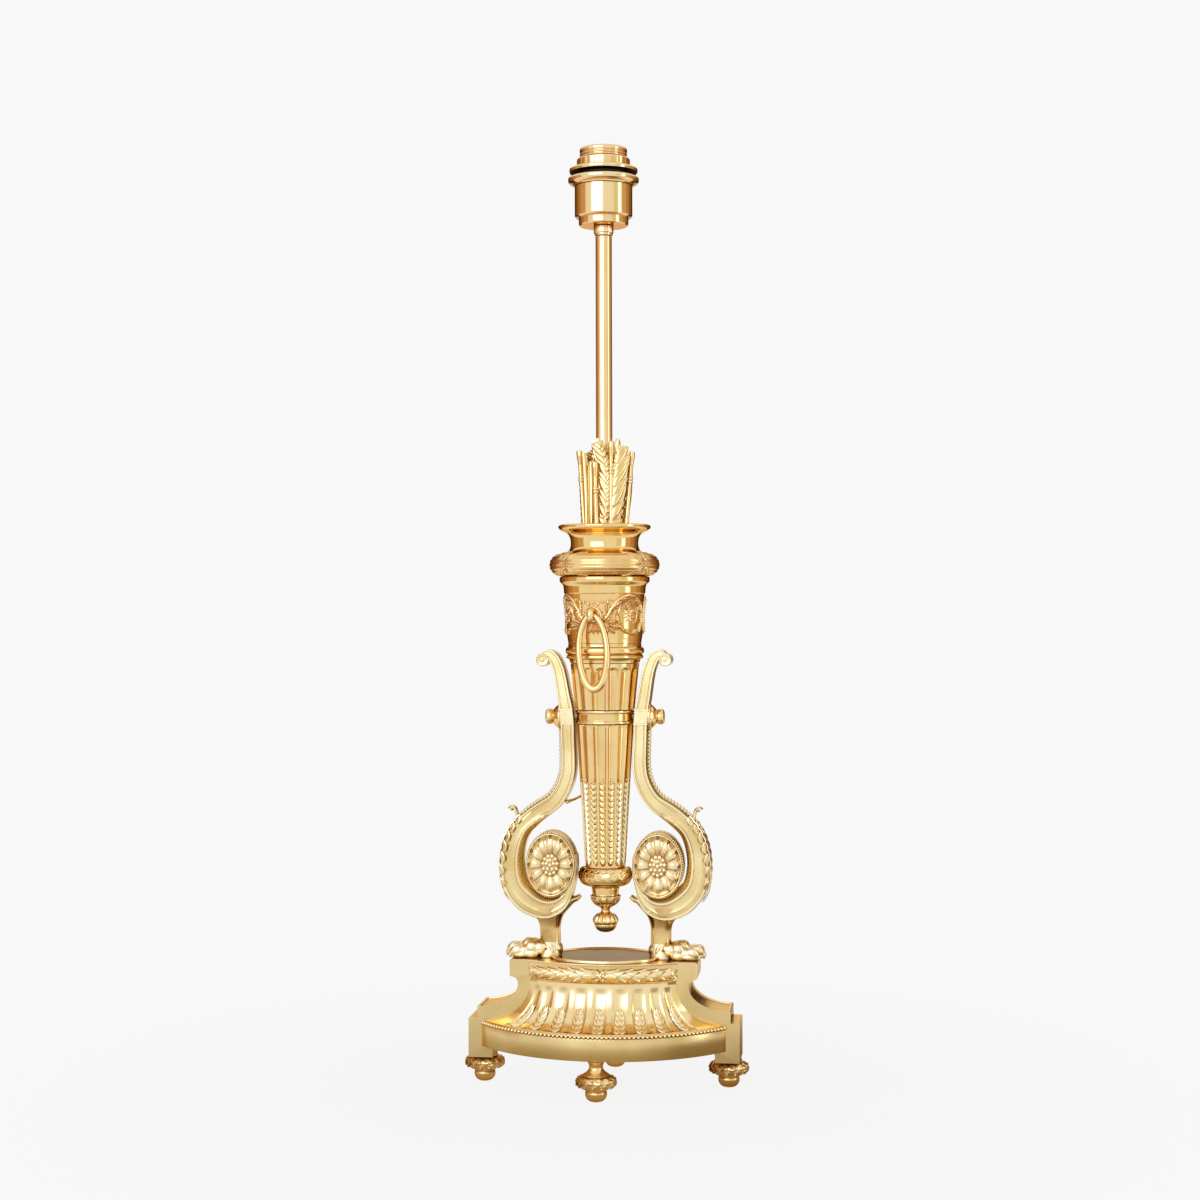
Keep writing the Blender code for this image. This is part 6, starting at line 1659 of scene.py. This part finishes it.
def make_knob(side):
    knots = [
        (0.0, 13.5), (3.2, 13.5), (5.0, 13.2), (6.1, 12.4), (6.5, 11.2), (6.6, 9.4), (6.3, 8.4), (5.7, 7.8), (5.6, 7.2),
        (6.2, 6.4), (7.6, 5.4), (8.8, 4.2), (9.6, 2.9), (9.9, 2.6), (10.7, 2.2), (11.1, 1.6), (11.1, 0.5), (10.7, 0.0),
        (3.3, 0.0), (3.3, 7.1), (0.0, 7.1),
    ]
    bm = turned(knots, 64, closed=False)
    swing_round(bm, pi / 2, "Y")
    bmesh.ops.translate(bm, vec=(36.8 * MM, 0, (SLAB_TOP + PIVOT_RISE) * MM), verts=bm.verts)
    sided(side, "turned_knob", bm, BRIGHT, "pivot_knob", 45)


# ---------------------------------------------------------------- arrows, handle and stay
def from_camera_side(across, toward, z):
    """A point given as the camera sees it: to the right of the axis, toward the camera, and height."""
    return Vector((
        across * cos(CAMERA_TURN) + toward * sin(CAMERA_TURN), across * sin(CAMERA_TURN) - toward * cos(CAMERA_TURN), z
    ))


# Shafts: across and toward the camera at the foot, the same at the top, height of the top and of the ring
SHAFTS = (
    (-16.4, 6.0, -20.9, 6.6, 531.3, 507.4), (-6.6, 17.6, -7.9, 18.0, 520.8, 497.0),
    (5.6, 15.8, 5.8, 15.4, 538.2, 513.4), (17.6, 8.0, 23.4, 7.4, 530.2, 505.8),
    (15.0, -10.0, 18.0, -13.0, 527.0, 500.0), (-2.0, -17.0, -2.6, -19.6, 533.0, 503.0),
    (-15.0, -10.0, -19.0, -12.0, 524.0, 494.0),
)
SHAFT_FOOT = 461.0
# Radius, and how far below the top, along the shaft's nock
NOCK = (
    (0.0, 0.5), (0.9, 0.4), (1.0, 1.2), (1.5, 0.0), (2.2, 0.3), (2.6, 1.8), (2.6, 4.6), (2.2, 8.0), (1.8, 12.0),
)
# Radius, and how far above the ring's middle, along the ring
SHAFT_RING = (
    (1.75, 3.0), (2.0, 2.4), (2.55, 2.2), (2.75, 1.5), (2.55, 0.8), (2.1, 0.5), (2.1, -0.1), (2.6, -0.4),
    (2.75, -1.1), (2.55, -1.8), (2.0, -2.0), (1.8, -2.8), (1.95, -14.0),
)
NARROW_FEATHER = 3.8
SHORTEST_LOCK = 2.6
# Feathers: knots of (across, toward, height) as the camera sees them, widths left and right, and facing
FEATHERS = (
    (((-14.4, 9.0, 463), (-15.0, 9.2, 490), (-16.0, 9.2, 512), (-17.0, 9.4, 529)), 3.0, 2.0, -30),
    (((-10.6, 11.0, 463), (-10.8, 11.2, 490), (-11.2, 10.8, 522)), 3.4, 3.0, -12),
    (((-0.6, 15.4, 463), (1.6, 15.6, 486), (2.2, 15.0, 503), (0.6, 14.0, 521), (-5.4, 12.0, 541)), 7.6, 3.4, -4),
    (((6.0, 15.0, 463), (6.4, 15.4, 486), (7.6, 15.0, 505), (9.4, 14.4, 520), (12.6, 13.4, 535.0)), 1.6, 11.6, 8),
    (((12.0, 6.0, 463), (14.0, 6.0, 490), (16.0, 6.0, 512), (17.0, 5.0, 526)), 5.0, 5.4, 24),
    (((9.6, 2.0, 480), (10.6, 1.0, 515), (11.8, 0.0, 542)), 3.0, 2.6, 20),
    (((17.4, 0.0, 463), (21.6, -1.0, 495), (22.6, -2.0, 522)), 3.6, 3.2, 60),
    (((-17.0, -2.0, 463), (-18.6, -3.0, 495), (-19.6, -4.0, 520)), 4.0, 4.0, -84),
    (((16.0, -10.0, 463), (18.0, -12.0, 495), (19.0, -13.0, 524)), 5.4, 5.4, 128),
    (((6.0, -15.0, 463), (7.0, -17.0, 495), (8.0, -18.0, 536)), 6.4, 6.0, 168),
    (((-7.6, -15.0, 463), (-8.4, -17.0, 495), (-9.0, -18.0, 534)), 6.0, 6.4, 196),
    (((-14.0, -9.0, 463), (-16.0, -11.0, 495), (-17.0, -12.0, 524)), 5.0, 5.0, 236),
)


def make_feather(knots, left, right, face, lock):
    """A carved feather along a line of camera-side points: a quill, a thin vane and overlapping slanted locks."""
    line = [from_camera_side(*knot) for knot in eased(knots, 12)]
    count = len(line) - 1
    out = outward(CAMERA_TURN + radians(face))
    length = sum((b - a).length for a, b in zip(line, line[1:]))

    def at(share):
        low = min(int(share * count), count - 1)
        along = (line[low + 1] - line[low]).normalized()
        return line[low].lerp(line[low + 1], share * count - low), along, along.cross(out).normalized()

    def reach_at(share, reach):
        body = 0.42 + 0.58 * min(share / 0.4, 1)
        return reach * body * sqrt(max(1 - max((share - 0.84) / 0.16, 0) ** 2, 0.1))

    narrow = max(left, right) < NARROW_FEATHER
    bulge = 1.9 if narrow else 0.5
    bm = bmesh.new()
    bmesh.ops.create_grid(bm, x_segments=8, y_segments=count, size=0.5)
    for vert in bm.verts:
        side = 2 * vert.co.x
        share = vert.co.y + 0.5
        spine, _, across = at(share)
        half = 0.95 * reach_at(share, left if side < 0 else right)
        vert.co = (spine + across * half * side + out * (0.4 + bulge * (0.5 - side * side))) * MM
    bmesh.ops.recalc_face_normals(bm, faces=bm.faces)
    bmesh.ops.solidify(bm, geom=bm.faces[:], thickness=0.9 * MM)
    if narrow:
        return bm
    quill = [at(i / 20)[0] + out * 0.9 for i in range(21)]
    join(bm, tube(quill, radii_along(quill, lambda share: 0.95 - 0.4 * share), 8))
    for side, reach in ((-1, left), (1, right)):
        pitch = 2.8 + 0.40 * reach
        for number in range(int(length / pitch)):
            share = (number + 0.3 * (side > 0)) * pitch / length
            spine, along, across = at(share)
            slant = radians(33 + 5 * sin(2.3 * number + side))
            vane = reach_at(min(share + 0.08, 1), reach)
            long = min(vane / sin(slant) * (0.98 + 0.05 * sin(1.9 * number + side)), (1 - share) * length * 0.95 + 0.4)
            if long < SHORTEST_LOCK:
                continue
            up = along * cos(slant) + across * side * sin(slant) - out * 0.06
            place = facing((spine + out * 0.3) * MM, up, out + across * side * 0.30)
            stamp(bm, lock, place @ Matrix.Diagonal((pitch / 3.4, min(pitch / 4.2, 1.3), long / 10, 1)))
    return bm


def make_arrows():
    whole = turned([(5.4, 462.0), (24.6, 462.0), (25.4, 461.5), (25.6, 460.6), (25.6, 450.0), (5.4, 450.0)], 96)
    for foot_x, foot_y, top_x, top_y, top, ring in SHAFTS:
        foot = from_camera_side(foot_x, foot_y, SHAFT_FOOT)
        head = from_camera_side(top_x, top_y, top)
        length = (head - foot).length
        at = (ring - SHAFT_FOOT) / (top - SHAFT_FOOT) * length
        outline = [(r, length - drop) for r, drop in NOCK] + [(r, at + rise) for r, rise in SHAFT_RING]
        bm = turned(outline + [(2.1, 0.0), (0.0, 0.0)], 20, closed=False)
        tilt = (head - foot).to_track_quat("Z", "Y").to_matrix().to_4x4()
        join(whole, bm, shift(*foot) @ tilt)
    lock = as_mesh(blade(10.0, 4.4, 0.6, dome=0.46, curl=-0.07, vein=0.03, across=8, along=10, fullness=0.7))
    for feather in FEATHERS:
        join(whole, make_feather(*feather, lock))
    piece("arrow_sheaf", whole, FEATHER_GOLD, ["arrow_bundle"], sharp=50, weld=False)


HANDLE_PLACE = (
    Matrix.Translation(round_lamp(HANDLE_TURN, HANDLE_REACH, HANDLE_Z)) @ Matrix.Rotation(HANDLE_TURN, 4, "Z")
)


def make_handle():
    line, radii = [], []
    for turn in round_turns(72):
        line.append((12.1 * sin(turn), 0, 30.4 * (cos(turn) - 1)))
        radii.append(3.2 - 1.0 * ((1 + cos(turn)) / 2) ** 1.5)
    bm = tube(line, radii, 20, joined=True)
    swing_round(bm, radians(-2.2), "Y")
    bmesh.ops.transform(bm, matrix=HANDLE_PLACE, verts=bm.verts)
    piece("oval_handle", bm, BRIGHT, ["ring_handle"], "ring", sharp=60)


def make_staple():
    """A hooked tab that holds the ring, under a horseshoe arch."""
    whole = bmesh.new()
    tab = eased([(0, 5.0, 3.4), (0, 1.6, 4.2), (0, -1.8, 4.0), (0, -3.9, 1.6), (0, -3.9, -1.8), (0, -2.4, -4.2)], 4)
    hook = tube(tab, radii_along(tab, lambda share: 2.0 + 0.6 * sin(pi * share)), 14)
    join(whole, hook, Matrix.Diagonal((1.15, 1.0, 1.0, 1)))
    for reach, thick in ((6.2, 1.1), (4.2, 0.7)):
        turns = [radians(-125 + 250 * step / 24) for step in range(25)]
        join(whole, tube([(reach * sin(turn), 5.2, reach * cos(turn)) for turn in turns], thick, 10))
    plate = turned([(0.0, 1.0), (5.4, 0.8), (6.0, 0.2), (6.0, -0.8), (0.0, -0.8)], 40, closed=False)
    join(whole, plate, Matrix.Translation((0, 5.0 * MM, 0)) @ Matrix.Rotation(pi / 2, 4, "X"))
    bmesh.ops.transform(whole, matrix=HANDLE_PLACE, verts=whole.verts)
    piece("handle_staple", whole, CHASED, ["ring_staple"], sharp=45)


def make_stay():
    low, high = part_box("stay_rod")
    start = Vector((low.x / MM + 1.0, 3.9, low.z / MM + 1.4))
    end = Vector((high.x / MM - 0.8, 16.0, high.z / MM - 1.4))
    sag = [start.lerp(end, share) - Vector((0, 0, drop)) for share, drop in ((0.33, 0.5), (0.66, 0.3))]
    line = eased([start, *sag, end], 5)
    whole = tube(line, radii_along(line, lambda share: 1.6 - 0.5 * sin(pi * share)), 16)
    for point in (start, end):
        join(whole, ball(1.9, 2), shift(*point))
    piece("slim_stay", whole, POLISHED, ["stay_rod"], sharp=60)


make_lampholder()
make_rod()
make_drums()
make_pivot_band()
make_collar()
make_frieze()
make_frieze_relief()
make_reeded_torus()
make_torus_ribbons()
make_rim()
make_lower_torus()
make_finial()
keep(PORCELAIN, "ceramic_insert")
keep(BRASS, "centre_contact", "cable_outlet_bush", "left_paw_nut", "right_paw_nut")
keep(STEEL, "tie_tube", "tie_nut", "left_pivot_bolt", "right_pivot_bolt", "left_paw_stud", "right_paw_stud",
     "terminal_screw_left", "terminal_screw_right")
make_slab()
make_plate()
make_feet()
make_arrows()
make_handle()
make_staple()
make_stay()
for end, name in ((-1, "front"), (1, "rear")):
    make_bow(end, name)
    make_bow_husks(end, name)
    make_laurel(end, name)
    make_beads(end, name)
for side in (-1, 1):
    make_leg(side)
    make_rosette(side)
    make_leaf(side)
    make_paw(side)
    make_knob(side)
